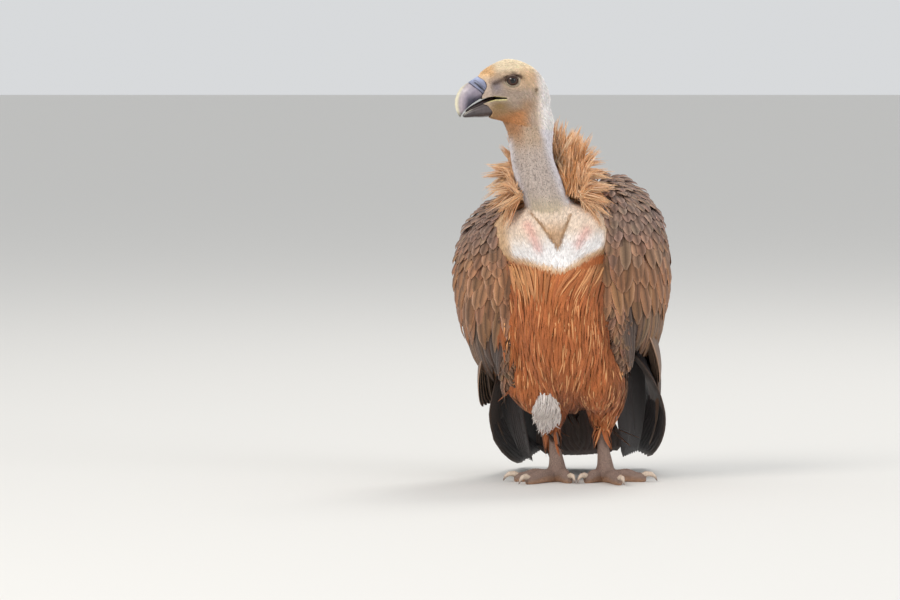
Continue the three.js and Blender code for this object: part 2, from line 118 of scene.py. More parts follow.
def unit(rows):
    return rows / np.maximum(np.linalg.norm(rows, axis=-1, keepdims=True), 1e-9)


def ease(low, high, value):
    """0 below low and 1 above high, with a smooth climb between."""
    t = np.clip((np.asarray(value, float) - low) / (high - low), 0, 1)
    return t * t * (3 - 2 * t)


def blend(a, b, share):
    """a where share is 0 and b where it is 1, row by row."""
    share = np.asarray(share, float)[..., None]
    return np.asarray(a, float) * (1 - share) + np.asarray(b, float) * share


# %% [markdown]
# ## Camera, floor and light
# The camera stands far off, a little higher than the bird, and looks slightly down through a long lens,
# so the view has almost no perspective. The floor is plain and pale. A large soft light stands high on
# the left, as bright haze would, with a broad fill on the right and one behind that picks out the down
# along the neck's edge.

# %% Camera
AIM = Vector((-0.1964, 0.0, 0.3122))
CAMERA_DISTANCE = 12.0  # metres
CAMERA_RISE = 3.0  # degrees above level
SENSOR_WIDTH = 36  # millimetres
LENS = 273.7
VIEW_END = 60  # metres
camera = bpy.data.objects.new("camera", bpy.data.cameras.new("camera"))
bpy.context.scene.collection.objects.link(camera)
camera.data.sensor_width = SENSOR_WIDTH
camera.data.lens = LENS
camera.data.clip_end = VIEW_END
rise = math.radians(CAMERA_RISE)
camera.location = AIM + CAMERA_DISTANCE * Vector((0, -math.cos(rise), math.sin(rise)))
camera.rotation_euler = (math.pi / 2 - rise, 0, 0)
bpy.context.scene.camera = camera


# %% Floor and lights
FLOOR_HALF = 30  # metres
LIGHT_AIM = Vector((0, 0, 0.35))
LIGHTS = (  # name, place and width in metres, power, colour
    ("key", (-3.6, -4.3, 4.9), 2.9, 206, (1, 0.97, 0.92)),
    ("fill", (4.6, -3.9, 2.4), 3.8, 84, (0.95, 0.97, 1)),
    ("back", (1.8, 3.2, 5.6), 2.6, 120, (1, 0.98, 0.95)),
)
ROOM_STRENGTH = 0.85


def paint(red, green, blue):
    """A colour as a screen shows it, 0 to 255, turned into the linear numbers that light adds up in."""
    shown = np.array((red, green, blue)) / 255
    return np.where(shown <= 0.04045, shown / 12.92, ((shown + 0.055) / 1.055) ** 2.4)


def material(name, roughness, **constants):
    """A new material: its Principled shader's constant values are set straight on the sockets."""
    made = bpy.data.materials.new(name)
    made.use_nodes = True
    shader = made.node_tree.nodes["Principled BSDF"]
    shader.inputs["Roughness"].default_value = roughness
    for socket, value in constants.items():
        shader.inputs[socket.replace("_", " ")].default_value = value
    return made, made.node_tree, shader


def soft_light(name, place, size, power, colour):
    """A round lamp that faces the bird's middle."""
    lamp = bpy.data.lights.new(name, "AREA")
    lamp.shape = "DISK"
    lamp.size = size
    lamp.energy = power
    lamp.color = colour
    holder = bpy.data.objects.new(name, lamp)
    holder.location = place
    holder.rotation_euler = (LIGHT_AIM - Vector(place)).to_track_quat("-Z", "Y").to_euler()
    bpy.context.scene.collection.objects.link(holder)


floor_bm = bmesh.new()
bmesh.ops.create_grid(floor_bm, x_segments=1, y_segments=1, size=FLOOR_HALF)
floor_mesh = bpy.data.meshes.new("floor")
floor_bm.to_mesh(floor_mesh)
floor_bm.free()
floor = bpy.data.objects.new("floor", floor_mesh)
bpy.context.scene.collection.objects.link(floor)
floor_look, _, floor_shader = material("floor_paint", 0.9)
floor_shader.inputs["Base Color"].default_value = (*paint(222, 220, 216), 1)
floor.data.materials.append(floor_look)
floor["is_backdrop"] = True

for light in LIGHTS:
    soft_light(*light)
world = bpy.data.worlds.new("room")
world.use_nodes = True
world.node_tree.nodes["Background"].inputs["Color"].default_value = (*paint(232, 234, 236), 1)
world.node_tree.nodes["Background"].inputs["Strength"].default_value = ROOM_STRENGTH
bpy.context.scene.world = world
bpy.context.scene.view_settings.view_transform = "Standard"
print("camera, floor and lights are in place")

# %% [markdown]
# ## One skin over the flesh
# The solids of the trunk, crop, neck, head, wings, thighs and legs touch but stay apart. The skin is one
# surface over all of them. A voxel remesh is the plain way to that: it takes copies of the solids, grown
# by half a millimetre so that they overlap, and wraps them in an even net. The net is smoothed, and
# thinned where feathers will hide it. Last, it is drawn in by the depth of the coat, so that the plumage
# brings the bird back to its true outline.

# %% Copies of the solids
COAT_DEPTH = {  # millimetres of plumage over each solid
    "trunk": 9, "crop": 3, "neck_lower": 2.6, "neck_upper": 2.4, "head": 1.2,
    "wing_coverts_right": 7, "wing_coverts_left": 7, "wing_hand_right": 4, "wing_hand_left": 4,
    "thigh_right": 8, "thigh_left": 8, "shank_right": 0, "shank_left": 0, "foot_right": 0, "foot_left": 0,
}
NET_GROW = 0.0005
NET_SIZE = 0.0016


def merged_copy(name, grow=0.0):
    """A bmesh of a solid's surface, its loose triangles merged and, if asked, grown along its normals."""
    bm = bmesh.new()
    bm.from_mesh(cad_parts[name].data)
    bmesh.ops.remove_doubles(bm, verts=bm.verts, dist=2e-5)
    bm.normal_update()
    if grow:
        for vert, way in [(v, v.normal.copy()) for v in bm.verts]:
            vert.co += way * grow
    return bm


def object_of(bm, name):
    mesh = bpy.data.meshes.new(name)
    bm.to_mesh(mesh)
    bm.free()
    made = bpy.data.objects.new(name, mesh)
    bpy.context.scene.collection.objects.link(made)
    return made


def shade_smooth(obj):
    obj.data.polygons.foreach_set("use_smooth", [True] * len(obj.data.polygons))


def applied(obj):
    """The object with its modifiers made part of its mesh."""
    graph = bpy.context.evaluated_depsgraph_get()
    mesh = bpy.data.meshes.new_from_object(obj.evaluated_get(graph), depsgraph=graph)
    obj.modifiers.clear()
    old = obj.data
    obj.data = mesh
    bpy.data.meshes.remove(old)
    return obj


def together(names, label, grow=0.0):
    """One object that holds the merged copies of several solids."""
    whole = bmesh.new()
    for name in names:
        one = merged_copy(name, grow)
        part = bpy.data.meshes.new("part")
        one.to_mesh(part)
        one.free()
        whole.from_mesh(part)
        bpy.data.meshes.remove(part)
    return object_of(whole, label)


def wrapped(obj, voxel):
    """The object remade as one even net over its outside."""
    wrap = obj.modifiers.new("wrap", "REMESH")
    wrap.mode = "VOXEL"
    wrap.voxel_size = voxel
    return applied(obj)


skin = wrapped(together([*COAT_DEPTH, "eye_right", "eye_left"], "skin", NET_GROW), NET_SIZE)
print("skin net:", len(skin.data.vertices), "points")


# %% Smoothing and drawing in
def points_of(mesh):
    co = np.empty(len(mesh.vertices) * 3)
    mesh.vertices.foreach_get("co", co)
    return co.reshape(-1, 3)


def normals_of(mesh):
    ways = np.empty(len(mesh.vertices) * 3, np.float32)
    mesh.vertex_normals.foreach_get("vector", ways)
    return ways.reshape(-1, 3).astype(float)


def edges_of(mesh):
    pairs = np.empty(len(mesh.edges) * 2, np.int32)
    mesh.edges.foreach_get("vertices", pairs)
    return pairs.reshape(-1, 2)


def evened(values, pairs, rounds, share=0.5):
    """Each value moved towards the mean of its neighbours' values along the edges, some rounds over."""
    values = np.array(values, float)
    flat = values.reshape(len(values), -1)
    count = np.bincount(pairs.ravel(), minlength=len(values))
    count = np.maximum(count, 1)
    share = np.broadcast_to(np.asarray(share, float), (len(values),))
    for _ in range(rounds):
        for column in range(flat.shape[1]):
            one = flat[:, column]
            total = np.bincount(pairs[:, 0], one[pairs[:, 1]], len(values))
            total += np.bincount(pairs[:, 1], one[pairs[:, 0]], len(values))
            flat[:, column] = one + share * (total / count - one)
    return flat.reshape(values.shape)


def set_points(mesh, co):
    mesh.vertices.foreach_set("co", np.asarray(co, np.float32).ravel())
    mesh.update()


def tree_of(obj):
    """A tree that finds the nearest place on an object's surface."""
    mesh = obj.data
    corners = np.empty(len(mesh.loops), np.int32)
    mesh.loops.foreach_get("vertex_index", corners)
    starts = np.empty(len(mesh.polygons), np.int32)
    mesh.polygons.foreach_get("loop_start", starts)
    faces = [list(run) for run in np.split(corners, starts[1:])]
    return BVHTree.FromPolygons(points_of(mesh).tolist(), faces)


# The net is evened first, less on the toes and round the mouth, whose small forms would be lost.
net = points_of(skin.data)
pairs = edges_of(skin.data)
on_head = head_place(net)  # millimetres: x left, -y ahead, z above the eyes
near_mouth = ease(0, 12, -on_head[:, 1]) * ease(-56, -44, on_head[:, 2]) * ease(-14, -22, on_head[:, 2])
low = ease(0.075, 0.055, net[:, 2])
set_points(skin.data, evened(net, pairs, 26, 0.6 * (1 - 0.75 * near_mouth) * (1 - 0.8 * low)))
print("skin net evened")


# %% Thinning where feathers hide it
def zone_of_face(co):
    """1 on the head and feet, whose skin shows, and 0 under the long feathers."""
    return np.maximum(ease(0.600, 0.625, co[:, 2]), ease(0.135, 0.115, co[:, 2]))


def weighted(obj, name, weights):
    group = obj.vertex_groups.new(name=name)
    steps = np.round(np.clip(weights, 0, 1) * 8).astype(int)
    for step in range(1, 9):
        group.add(np.flatnonzero(steps == step).tolist(), step / 8, "REPLACE")
    return group


SKIN_SHARE_KEPT = 0.185
weighted(skin, "hidden", 1 - zone_of_face(points_of(skin.data)))
thin = skin.modifiers.new("thin", "DECIMATE")
thin.ratio = SKIN_SHARE_KEPT
thin.vertex_group = "hidden"
thin.vertex_group_factor = 40
applied(skin)
skin.vertex_groups.clear()
print("skin thinned to", len(skin.data.vertices), "points")


# %% The biggest shell alone, and finer faces round the eyes, the gape and the toes
def keep_biggest_shell(bm):
    left = set(bm.verts)
    best = []
    while left:
        shell = [left.pop()]
        for vert in shell:
            for edge in vert.link_edges:
                other = edge.other_vert(vert)
                if other in left:
                    left.remove(other)
                    shell.append(other)
        best = max(best, shell, key=len)
    kept = set(best)
    bmesh.ops.delete(bm, geom=[v for v in bm.verts if v not in kept], context="VERTS")


def fine_zone(co, ways):
    head = head_place(co)
    away = np.hypot(head[:, 1], head[:, 2])
    eyes = (away < 17) & (np.abs(head[:, 0]) > 12)
    gape = (head[:, 1] < -7) & (head[:, 2] < -25) & (head[:, 2] > -38)
    return eyes | gape | (co[:, 2] < 0.036) & (ways[:, 2] > 0.35)


skin_bm = bmesh.new()
skin_bm.from_mesh(skin.data)
keep_biggest_shell(skin_bm)
skin_bm.normal_update()
corners = np.array([v.co for v in skin_bm.verts])
fine = fine_zone(corners, np.array([v.normal for v in skin_bm.verts]))
skin_bm.verts.index_update()
fine_edges = [e for e in skin_bm.edges if fine[e.verts[0].index] and fine[e.verts[1].index]]
bmesh.ops.subdivide_edges(skin_bm, edges=fine_edges, cuts=1, use_grid_fill=True)
bmesh.ops.triangulate(skin_bm, faces=[f for f in skin_bm.faces if len(f.verts) > 3])
skin_bm.to_mesh(skin.data)
skin_bm.free()
shade_smooth(skin)
print("skin:", len(skin.data.polygons), "faces")

# %% Drawing in by the coat's depth
# The solid that each point lies on tells how far the plumage there stands off the skin.
solid_faces, solid_corners, solid_names = [], [], []
for node in COAT_DEPTH:
    copy = merged_copy(node)
    start = len(solid_corners)
    solid_corners += [v.co[:] for v in copy.verts]
    solid_faces += [[start + v.index for v in f.verts] for f in copy.faces]
    solid_names += [node] * len(copy.faces)
    copy.free()
solid_tree = BVHTree.FromPolygons(solid_corners, solid_faces)
net = points_of(skin.data)
pairs = edges_of(skin.data)
on_solid = [solid_names[solid_tree.find_nearest(p)[2]] for p in net.tolist()]
depth = np.array([COAT_DEPTH[name] for name in on_solid]) * MM
depth = evened(depth, pairs, 12)
set_points(skin.data, net - normals_of(skin.data) * depth[:, None])
net = evened(points_of(skin.data), pairs, 3, np.where(net[:, 2] < 0.06, 0, 0.5))
set_points(skin.data, net)
print("coat depth up to", round(depth.max() / MM, 1), "mm")

# %% [markdown]
# ## The face
# The skull's solid is smooth, so the skin's own forms are pressed into it here: the lids round each eye,
# the brow that overhangs it, the hollow of the lores, the cheek, the ear and the edges of the gape. Each
# is a small rise or hollow that depends only on how far a point lies from a centre or a line, in the
# head's own millimetres.

# %% Lids, brow, lores and ear
EYE_RADIUS = 11.2
LID_OPEN_WIDE = 9.6  # half the width of the open lids
LID_OPEN_HIGH = 6.6  # above the middle of the eye
LID_OPEN_LOW = 8.2  # below it
LID_THICK = 1.0
GAPE = ((10.5, -30.8), (30, -30.3), (48, -35))  # ahead and above, at the slit's rear, bend and front
EAR_BEHIND, EAR_BELOW = 42, 17  # from the middle of the eye


def near_line(points, start, end):
    """How far each point (ahead, above) lies from a line, and on which side: above it is positive."""
    start, end = np.array(start, float), np.array(end, float)
    span = end - start
    share = np.clip(((points - start) @ span) / (span @ span), 0, 1)
    gap = points - (start + share[:, None] * span)
    side = np.sign(span[0] * (points[:, 1] - start[1]) - span[1] * (points[:, 0] - start[0]))
    return np.linalg.norm(gap, axis=1) * side, share


def bump(distance, width):
    return np.exp(-((distance / width) ** 2))


def face_place(co):
    """Ahead of the eye, above it and out from the middle plane, in millimetres, and a point's side."""
    head = head_place(co)
    return -head[:, 1], head[:, 2], np.abs(head[:, 0]), np.sign(head[:, 0])


def lid_share(ahead, above):
    """1 on the edge of the open lids, less inside it and more outside."""
    high = np.where(above > 0, LID_OPEN_HIGH, LID_OPEN_LOW)
    return np.hypot(ahead / LID_OPEN_WIDE, above / high)


def gape_place(ahead, above):
    """How far above the slit between the jaws a point is, and half the slit's width there."""
    flat = np.stack([ahead, above], 1)
    rear, _ = near_line(flat, GAPE[0], GAPE[1])
    front, _ = near_line(flat, GAPE[1], GAPE[2])
    gap = np.where(np.abs(rear) < np.abs(front), -rear, -front)
    slit_height = np.interp(ahead, *np.transpose(GAPE))
    return np.abs(gap) * np.sign(above - slit_height), 0.8 + 1.2 * ease(10, 30, ahead)


net = points_of(skin.data)
ahead, above, out, side = face_place(net)
flat_place = np.stack([ahead, above], 1)
away = np.hypot(ahead, above)
lid = lid_share(ahead, above)
by_eye = (out > 12) & (away < 30)
ball = EYE_APART + np.sqrt(np.maximum(EYE_RADIUS**2 - away**2, 0))
rim = ball + LID_THICK
new_out = out.copy()
# Outside the opening the lid lies on the ball, and meets the cheek's own surface further out.
on_lid = ease(1.75, 1.15, lid) * (away < 16)
new_out = np.where(by_eye & (lid >= 1), out * (1 - on_lid) + rim * on_lid, new_out)
# Inside it, the skin turns in behind the ball.
behind_ball = ball - 3.0 * ease(1.0, 0.8, lid) + LID_THICK * ease(0.85, 1.0, lid)
new_out = np.where(by_eye & (lid < 1), behind_ball, new_out)
fold = 0.7 * bump(lid - 1.3, 0.1) - 0.7 * bump(lid - 1.56, 0.09) + 0.35 * bump(lid - 1.78, 0.1)
brow_gap, brow_along = near_line(flat_place, (-17, 9.5), (20, 5.5))
brow = 3.0 * bump(brow_gap - 3.4, 3.2) - 1.8 * bump(brow_gap + 0.1, 1.6)
brow *= ease(0, 0.12, brow_along) * ease(1, 0.85, brow_along)
lores = -2.0 * bump(np.hypot(ahead - 30, (above + 8) * 1.2), 9)
cheek = 1.6 * bump(np.hypot(ahead + 6, above + 36), 15)
ear = -3.4 * bump(np.hypot(ahead + EAR_BEHIND, (above + EAR_BELOW) * 0.8), 2.6)
ear += 0.9 * bump(np.hypot(ahead + EAR_BEHIND, above + EAR_BELOW) - 5, 1.8)
gape_gap, gape_half = gape_place(ahead, above)
gape_lip = 0.9 * bump(np.abs(gape_gap) - gape_half - 1.5, 1.1) * ease(7, 12, ahead)
gape_lip = gape_lip - 6.5 * ease(gape_half + 0.6, gape_half - 0.5, np.abs(gape_gap)) * ease(9, 11, ahead)
on_side = by_eye | ((out > 8) & (away < 70))
new_out += np.where(on_side, brow * (lid > 1.05) + lores + cheek + ear + gape_lip, 0)
new_out += np.where(by_eye & (lid > 1), fold, 0)
toward = turned(HEAD, np.stack([side, 0 * side, 0 * side], 1))
set_points(skin.data, net + toward * ((new_out - out) * MM)[:, None])
print("face shaped; the lids stand", round(float(rim[by_eye & (lid > 1)].max() - EYE_APART), 1), "mm out")

# %% [markdown]
# ## Scutes of the legs and toes
# The tops of the toes carry a row of broad plates, and the rest of the foot and leg has small round
# scales. The plates are real steps in the skin here, because they break the toe's edge against the light.
# The shin has a row of lower ones in front. The small scales are left to the material.

# %% Plates along the toes
ANKLES = {"right": (-10, 30), "left": (74, 22)}
TOE_ANGLES = {"right": (22, -34, -78, 158), "left": (-40, 15, 80, -160)}
PLATE_LENGTH = 4.6  # millimetres along the toe
PLATE_RISE = 0.75


def toe_place(co):
    """How far along its own toe each point is, how far beside it, and how high, in millimetres."""
    at = floor_place(co)
    best = np.full(len(at), 1e9)
    along_toe = np.zeros(len(at))
    for side_name, (x, y) in ANKLES.items():
        for angle in TOE_ANGLES[side_name]:
            way = np.array((math.sin(math.radians(angle)), -math.cos(math.radians(angle))))
            gap = at[:, :2] - np.array((x, y))
            forward = gap @ way
            beside = np.abs(gap @ np.array((way[1], -way[0])))
            cost = beside + np.maximum(-forward, 0) * 3
            closer = cost < best
            best = np.where(closer, cost, best)
            along_toe = np.where(closer, forward, along_toe)
    return along_toe, best, at[:, 2]


net = points_of(skin.data)
along_toe, beside, high = toe_place(net)
ways = normals_of(skin.data)
saw = (along_toe / PLATE_LENGTH) % 1
top = ease(0.15, 0.6, ways[:, 2]) * ease(14, 18, along_toe) * ease(34, 24, high)
plate = PLATE_RISE * top * (0.9 - saw) * ease(0, 0.12, saw)
shin = ease(26, 36, high) * ease(112, 96, high)
shin_plates = 0.45 * shin * (0.8 - (high / 5.2) % 1) * ease(0.1, -0.4, ways[:, 1])
pads = 0.5 * ease(-0.1, -0.5, ways[:, 2]) * ease(2.5, 4, high) * np.cos(along_toe * 1.1)
step = np.where(high < 115, plate + shin_plates + np.where(high < 14, pads, 0), 0)
net = net + ways * (step * MM)[:, None]
net[:, 2] = np.maximum(net[:, 2], np.where(high < 2.5, 0, -1))
set_points(skin.data, net)
print("toe plates every", PLATE_LENGTH, "mm")

# %% [markdown]
# ## Markings
# The skin and every feather take their colour from the same function of where they grow, so the two
# always agree. The colours are mixed from the head's, neck's and body's own directions: pale crown and
# nape, darker lores and throat, a speckled neck, cream and white on the crop, rufous below and taupe
# above.

# %% Colours of the plumage by place
INK = {
    "crown": paint(246, 226, 194), "forehead": paint(232, 188, 138), "temple": paint(204, 176, 148),
    # brow is a painted shadow: the shade that the overhanging brow casts over the eye and the lores
    "lores": paint(140, 132, 140), "brow": paint(72, 50, 40), "cheek": paint(182, 162, 146),
    "jaw": paint(176, 136, 98), "chin": paint(156, 128, 88), "throat": paint(190, 132, 86),
    "nape": paint(243, 237, 234), "lid": paint(214, 204, 180), "lid_fold": paint(118, 98, 86),
    # The pale band on the neck's edges is partly the nape's own pale down and partly painted rim light.
    "lid_edge": paint(44, 34, 30), "neck": paint(208, 192, 182), "pale_edge_and_rim_light": paint(240, 234, 238),
    "neck_base": paint(222, 204, 178), "gape": paint(222, 212, 150), "lip": paint(150, 138, 84),
    # The mouth's near-black is painted shade inside the open bill.
    "ear": paint(120, 96, 62), "mouth": paint(14, 8, 8), "crop": paint(234, 212, 192),
    "crop_white": paint(252, 248, 247), "crop_pink": paint(222, 158, 148),
    # The folds' dark brown is painted shade in the two folds of the crop.
    "crop_buff": paint(216, 170, 118), "fold_shade_brown": paint(150, 112, 76),
    "ruff": paint(255, 212, 170), "rufous": paint(182, 106, 62), "rufous_dark": paint(134, 80, 50),
    "taupe": paint(146, 120, 106), "brown": paint(162, 118, 88), "secondary": paint(136, 104, 80),
    "slate": paint(94, 76, 66), "fold_tan": paint(190, 146, 102), "white_down": paint(246, 236, 230),
    "leg": paint(150, 126, 114), "sole": paint(196, 148, 112),
}


def even_dye(ink, points):
    """One colour for every point."""
    return np.broadcast_to(ink, (len(points), 3))


def inked(dye, *coats):
    """The colours after some coats of ink, each given by its name and its share at every point."""
    for name, share in coats:
        dye = blend(dye, INK[name], share)
    return dye


def head_colour(co):
    ahead, above, out, _ = face_place(co)
    flat = np.stack([ahead, above], 1)
    dye = even_dye(INK["temple"], co)
    dye = inked(
        dye,
        ("cheek", ease(-6, -22, above) * ease(-52, -30, ahead)),
        ("crown", ease(8, 24, above) * ease(46, 22, ahead)),
        ("forehead", ease(0, 14, above) * ease(22, 38, ahead)),
        ("forehead", 0.4 * bump(np.hypot(ahead + 26, above - 12), 16)),
        ("jaw", ease(-40, -56, above) * ease(-40, -10, ahead)),
        ("jaw", 0.7 * bump(np.hypot((ahead + 24) * 0.8, above + 42), 11)),
        ("chin", bump(np.hypot((ahead - 22) * 0.6, above + 44), 10)),
        ("throat", ease(-50, -64, above + 0.35 * ahead) * ease(-34, -8, ahead)),
        ("nape", ease(-36, -58, ahead)),
        ("lores", 0.85 * bump(np.hypot(ahead - 27, above + 10), 12) * (out > 6)),
    )
    # Painted shadow of the overhanging brow: a dark band from the lores over the top of the eye to behind
    # it.
    ahead_gap, _ = near_line(flat, (10, 4.5), (30, -5))
    over_gap, over_along = near_line(flat, (-15, 6), (-1, 10.5))
    front_gap, _ = near_line(flat, (-1, 10.5), (11, 4.5))
    dye = blend(dye, INK["brow"], 0.8 * bump(ahead_gap, 4.2) * (out > 8))
    dye = blend(dye, INK["brow"], 0.95 * np.maximum(bump(over_gap, 3.8), bump(front_gap, 3.8)) * (out > 8))
    lid = lid_share(ahead, above)
    lower = ease(5, -1, above + 0.35 * ahead)
    dye = blend(dye, INK["lid_fold"], 0.85 * ease(1.62, 1.45, lid) * (out > 12))
    lid_light = np.maximum(bump(lid - 1.4, 0.07), 0.9 * bump(lid - 1.15, 0.05))
    # The lids are pale below and behind the eye; above it the upper lid is painted in the brow's shadow.
    dye = inked(
        dye,
        ("lid", lower * lid_light * (out > 12)),
        ("brow", (1 - lower) * ease(1.5, 1.2, lid) * (out > 12)),
        ("lid_edge", ease(1.1, 1.04, lid) * (out > 12)),
        ("ear", 0.85 * bump(np.hypot(ahead + EAR_BEHIND, (above + EAR_BELOW) * 0.8), 3.6)),
    )
    gap, half = gape_place(ahead, above)
    dye = blend(dye, INK["gape"], bump(gap + half + 1.3, 1.1) * ease(8, 12, ahead))
    dye = blend(dye, INK["lip"], 0.8 * bump(gap - half - 1.0, 0.8) * ease(8, 14, ahead))
    # Inside the slit the skin is painted near-black: painted shade of the open mouth.
    return blend(dye, INK["mouth"], ease(half + 0.5, half, np.abs(gap)) * ease(9, 11, ahead))


def neck_colour(co):
    at = floor_place(co)
    high = at[:, 2]
    beside = at[:, 0] - np.interp(high, [440, 500, 560, 620], [-8, -32, -54, -58])
    dye = even_dye(INK["neck"], co)
    dye = inked(
        dye,
        ("neck_base", ease(512, 480, high)),
        # darker brown towards the foot of the neck, where it sinks between the crop's folds
        ("fold_shade_brown", 0.75 * ease(462, 430, high)),
        ("temple", 0.8 * ease(575, 600, high)),
        ("throat", 0.8 * ease(580, 622, high) * ease(-2, -24, beside)),
    )
    # Pale bands on both edges of the neck as seen: the nape's own pale down behind, and painted rim light
    # on both.
    start = np.interp(high, [560, 620], [20, 8])
    edge = np.maximum(ease(start, start + 16, beside), 0.85 * ease(-26, -36, beside) * ease(610, 590, high))
    return blend(dye, INK["pale_edge_and_rim_light"], edge * ease(470, 500, high))


def crop_colour(co):
    at = floor_place(co)
    across, high = at[:, 0] + 10, at[:, 2]
    flat = np.stack([at[:, 0], high], 1)
    dye = even_dye(INK["crop"], co)
    dye = blend(dye, INK["crop_buff"], 0.7 * ease(74, 92, np.abs(across + 4)))
    lobe_top = 452 + 0.1 * across + 6 * bump(across, 16)
    lobes = ease(lobe_top, lobe_top - 34, high) * ease(88, 76, np.abs(across + 2))
    dye = blend(dye, INK["crop_white"], lobes)
    for start, end in (((-64, 456), (-48, 422)), ((28, 430), (40, 448))):
        patch_gap, _ = near_line(flat, start, end)
        dye = blend(dye, INK["crop_pink"], 0.6 * bump(patch_gap, 9))
    left_fold = np.interp(high, [424, 478], [-13, -58])
    right_fold = np.interp(high, [424, 474], [-9, 12])
    between = ease(left_fold - 3, left_fold + 3, at[:, 0]) * ease(right_fold + 3, right_fold - 3, at[:, 0])
    dye = blend(dye, INK["fold_tan"], 0.85 * between * ease(476, 440, high) * ease(418, 424, high))
    # Painted shade: dark brown lines down the two folds at the sides of the V.
    for start, end in (((-58, 478), (-13, 424)), ((12, 474), (-9, 424))):
        fold_gap, _ = near_line(flat, start, end)
        dye = blend(dye, INK["fold_shade_brown"], 0.9 * bump(fold_gap, 3.0))
    bottom = np.interp(at[:, 0], [-88, -3, 66], [399, 381, 414])
    dye = blend(dye, INK["crop_buff"], 0.85 * ease(bottom + 12, bottom, high))
    return blend(dye, INK["rufous"], ease(bottom + 1, bottom - 8, high))


def body_colour(co, ways):
    at = body_place(co)
    dye = even_dye(INK["rufous"], co)
    flanks = 0.75 * ease(70, 96, np.abs(at[:, 0] + 8)) * ease(110, 200, at[:, 2])
    dye = inked(
        dye,
        ("rufous_dark", flanks),
        ("rufous_dark", 0.45 * ease(250, 160, at[:, 2]) * ease(60, 20, np.abs(at[:, 0]))),
        ("crop_buff", 0.5 * ease(368, 392, at[:, 2]) * (ways[:, 1] < 0.2)),
    )
    behind = ease(-0.2, 0.3, ways[:, 1]) * ease(150, 200, at[:, 2])
    return blend(dye, INK["brown"], behind)


def wing_colour(co):
    at = body_place(co)
    return blend(even_dye(INK["brown"], co), INK["taupe"], ease(390, 460, at[:, 2]))


def leg_colour(co, ways):
    at = floor_place(co)
    sole = 0.8 * ease(0.1, -0.5, ways[:, 2]) * (at[:, 2] < 30)
    return blend(even_dye(INK["leg"], co), INK["sole"], sole)


def colours_of(parts, co, ways):
    """The markings at each point, whose solid's name is given beside it."""
    parts = np.asarray(parts)
    dye = body_colour(co, ways)
    for names, found in (
        (("head",), head_colour(co)),
        (("neck_upper", "neck_lower"), neck_colour(co)),
        (("crop",), crop_colour(co)),
        (("wing_coverts_right", "wing_coverts_left", "wing_hand_right", "wing_hand_left"), wing_colour(co)),
        (("shank_right", "shank_left", "foot_right", "foot_left"), leg_colour(co, ways)),
    ):
        dye = np.where(np.isin(parts, names)[:, None], found, dye)
    return dye


def write_colour(mesh, name, dye):
    layer = mesh.color_attributes.new(name, "FLOAT_COLOR", "POINT")
    solid_dye = np.c_[np.clip(dye, 0, 1), np.ones(len(dye))]
    layer.data.foreach_set("color", solid_dye.astype(np.float32).ravel())


skin_co, skin_ways = points_of(skin.data), normals_of(skin.data)
skin_parts = [solid_names[solid_tree.find_nearest(p)[2]] for p in skin_co.tolist()]
skin_dye = evened(colours_of(skin_parts, skin_co, skin_ways), edges_of(skin.data), 2)
on_face = (np.asarray(skin_parts) == "head")[:, None]
skin_dye = np.where(on_face, colours_of(skin_parts, skin_co, skin_ways), skin_dye)
write_colour(skin.data, "dye", skin_dye)
print("markings on", len(skin_dye), "points of skin")

# %% [markdown]
# ## Finishes
# A finish is a Principled shader fed by small node groups. Two effects are used all over the bird, so
# each is a group with its own inputs: "speckle" breaks a colour up with noise, and "vane" draws a
# feather's parts, its pale shaft, its paler edge, its darker middle and its fine slanting barbs, from the
# three numbers that every vane carries: how far across it a point is, how far along, and a number that
# differs from feather to feather.

# %% Node helpers
def group_of(name, inputs, outputs):
    """A node group with its sockets, as (kind, name, default) each, and its two end nodes."""
    made = bpy.data.node_groups.new(name, "ShaderNodeTree")
    for way, sockets in (("INPUT", inputs), ("OUTPUT", outputs)):
        for kind, label, *default in sockets:
            socket = made.interface.new_socket(label, in_out=way, socket_type="NodeSocket" + kind)
            if default:
                socket.default_value = default[0]
    return made, made.nodes.new("NodeGroupInput"), made.nodes.new("NodeGroupOutput")


def node(tree, kind, settings=None, **inputs):
    """A node with its settings, and each input either a value or another node's socket."""
    made = tree.nodes.new("ShaderNode" + kind)
    for key, value in (settings or {}).items():
        setattr(made, key, value)
    for label, value in inputs.items():
        by_number = label[0] == "i" and label[1:].isdigit()
        socket = made.inputs[int(label[1:]) if by_number else label.replace("_", " ")]
        if isinstance(value, bpy.types.NodeSocket):
            tree.links.new(value, socket)
        else:
            socket.default_value = value
    return made


def maths(tree, operation, a, b=0.0):
    return node(tree, "Math", {"operation": operation}, i0=a, i1=b).outputs[0]


def times(tree, a, b):
    return maths(tree, "MULTIPLY", a, b)


def plus(tree, a, b):
    return maths(tree, "ADD", a, b)


def minus(tree, a, b):
    return maths(tree, "SUBTRACT", a, b)


def object_place(tree):
    """Each point's place in its object's own frame."""
    return node(tree, "TexCoord").outputs["Object"]


def mixed(tree, share, a, b, way="MIX"):
    """Colour a turned towards colour b."""
    made = tree.nodes.new("ShaderNodeMix")
    made.data_type = "RGBA"
    made.blend_type = way
    for index, value in ((0, share), (6, a), (7, b)):
        if isinstance(value, bpy.types.NodeSocket):
            tree.links.new(value, made.inputs[index])
        elif index == 0:
            made.inputs[index].default_value = value
        else:
            made.inputs[index].default_value = (*value[:3], 1)
    return made.outputs[2]


def climb(tree, value, low, high):
    """0 below low and 1 above high."""
    made = node(tree, "MapRange", {"interpolation_type": "SMOOTHSTEP"}, Value=value)
    made.inputs["From Min"].default_value = low
    made.inputs["From Max"].default_value = high
    return made.outputs["Result"]


def attribute(tree, name):
    return node(tree, "Attribute", {"attribute_name": name})


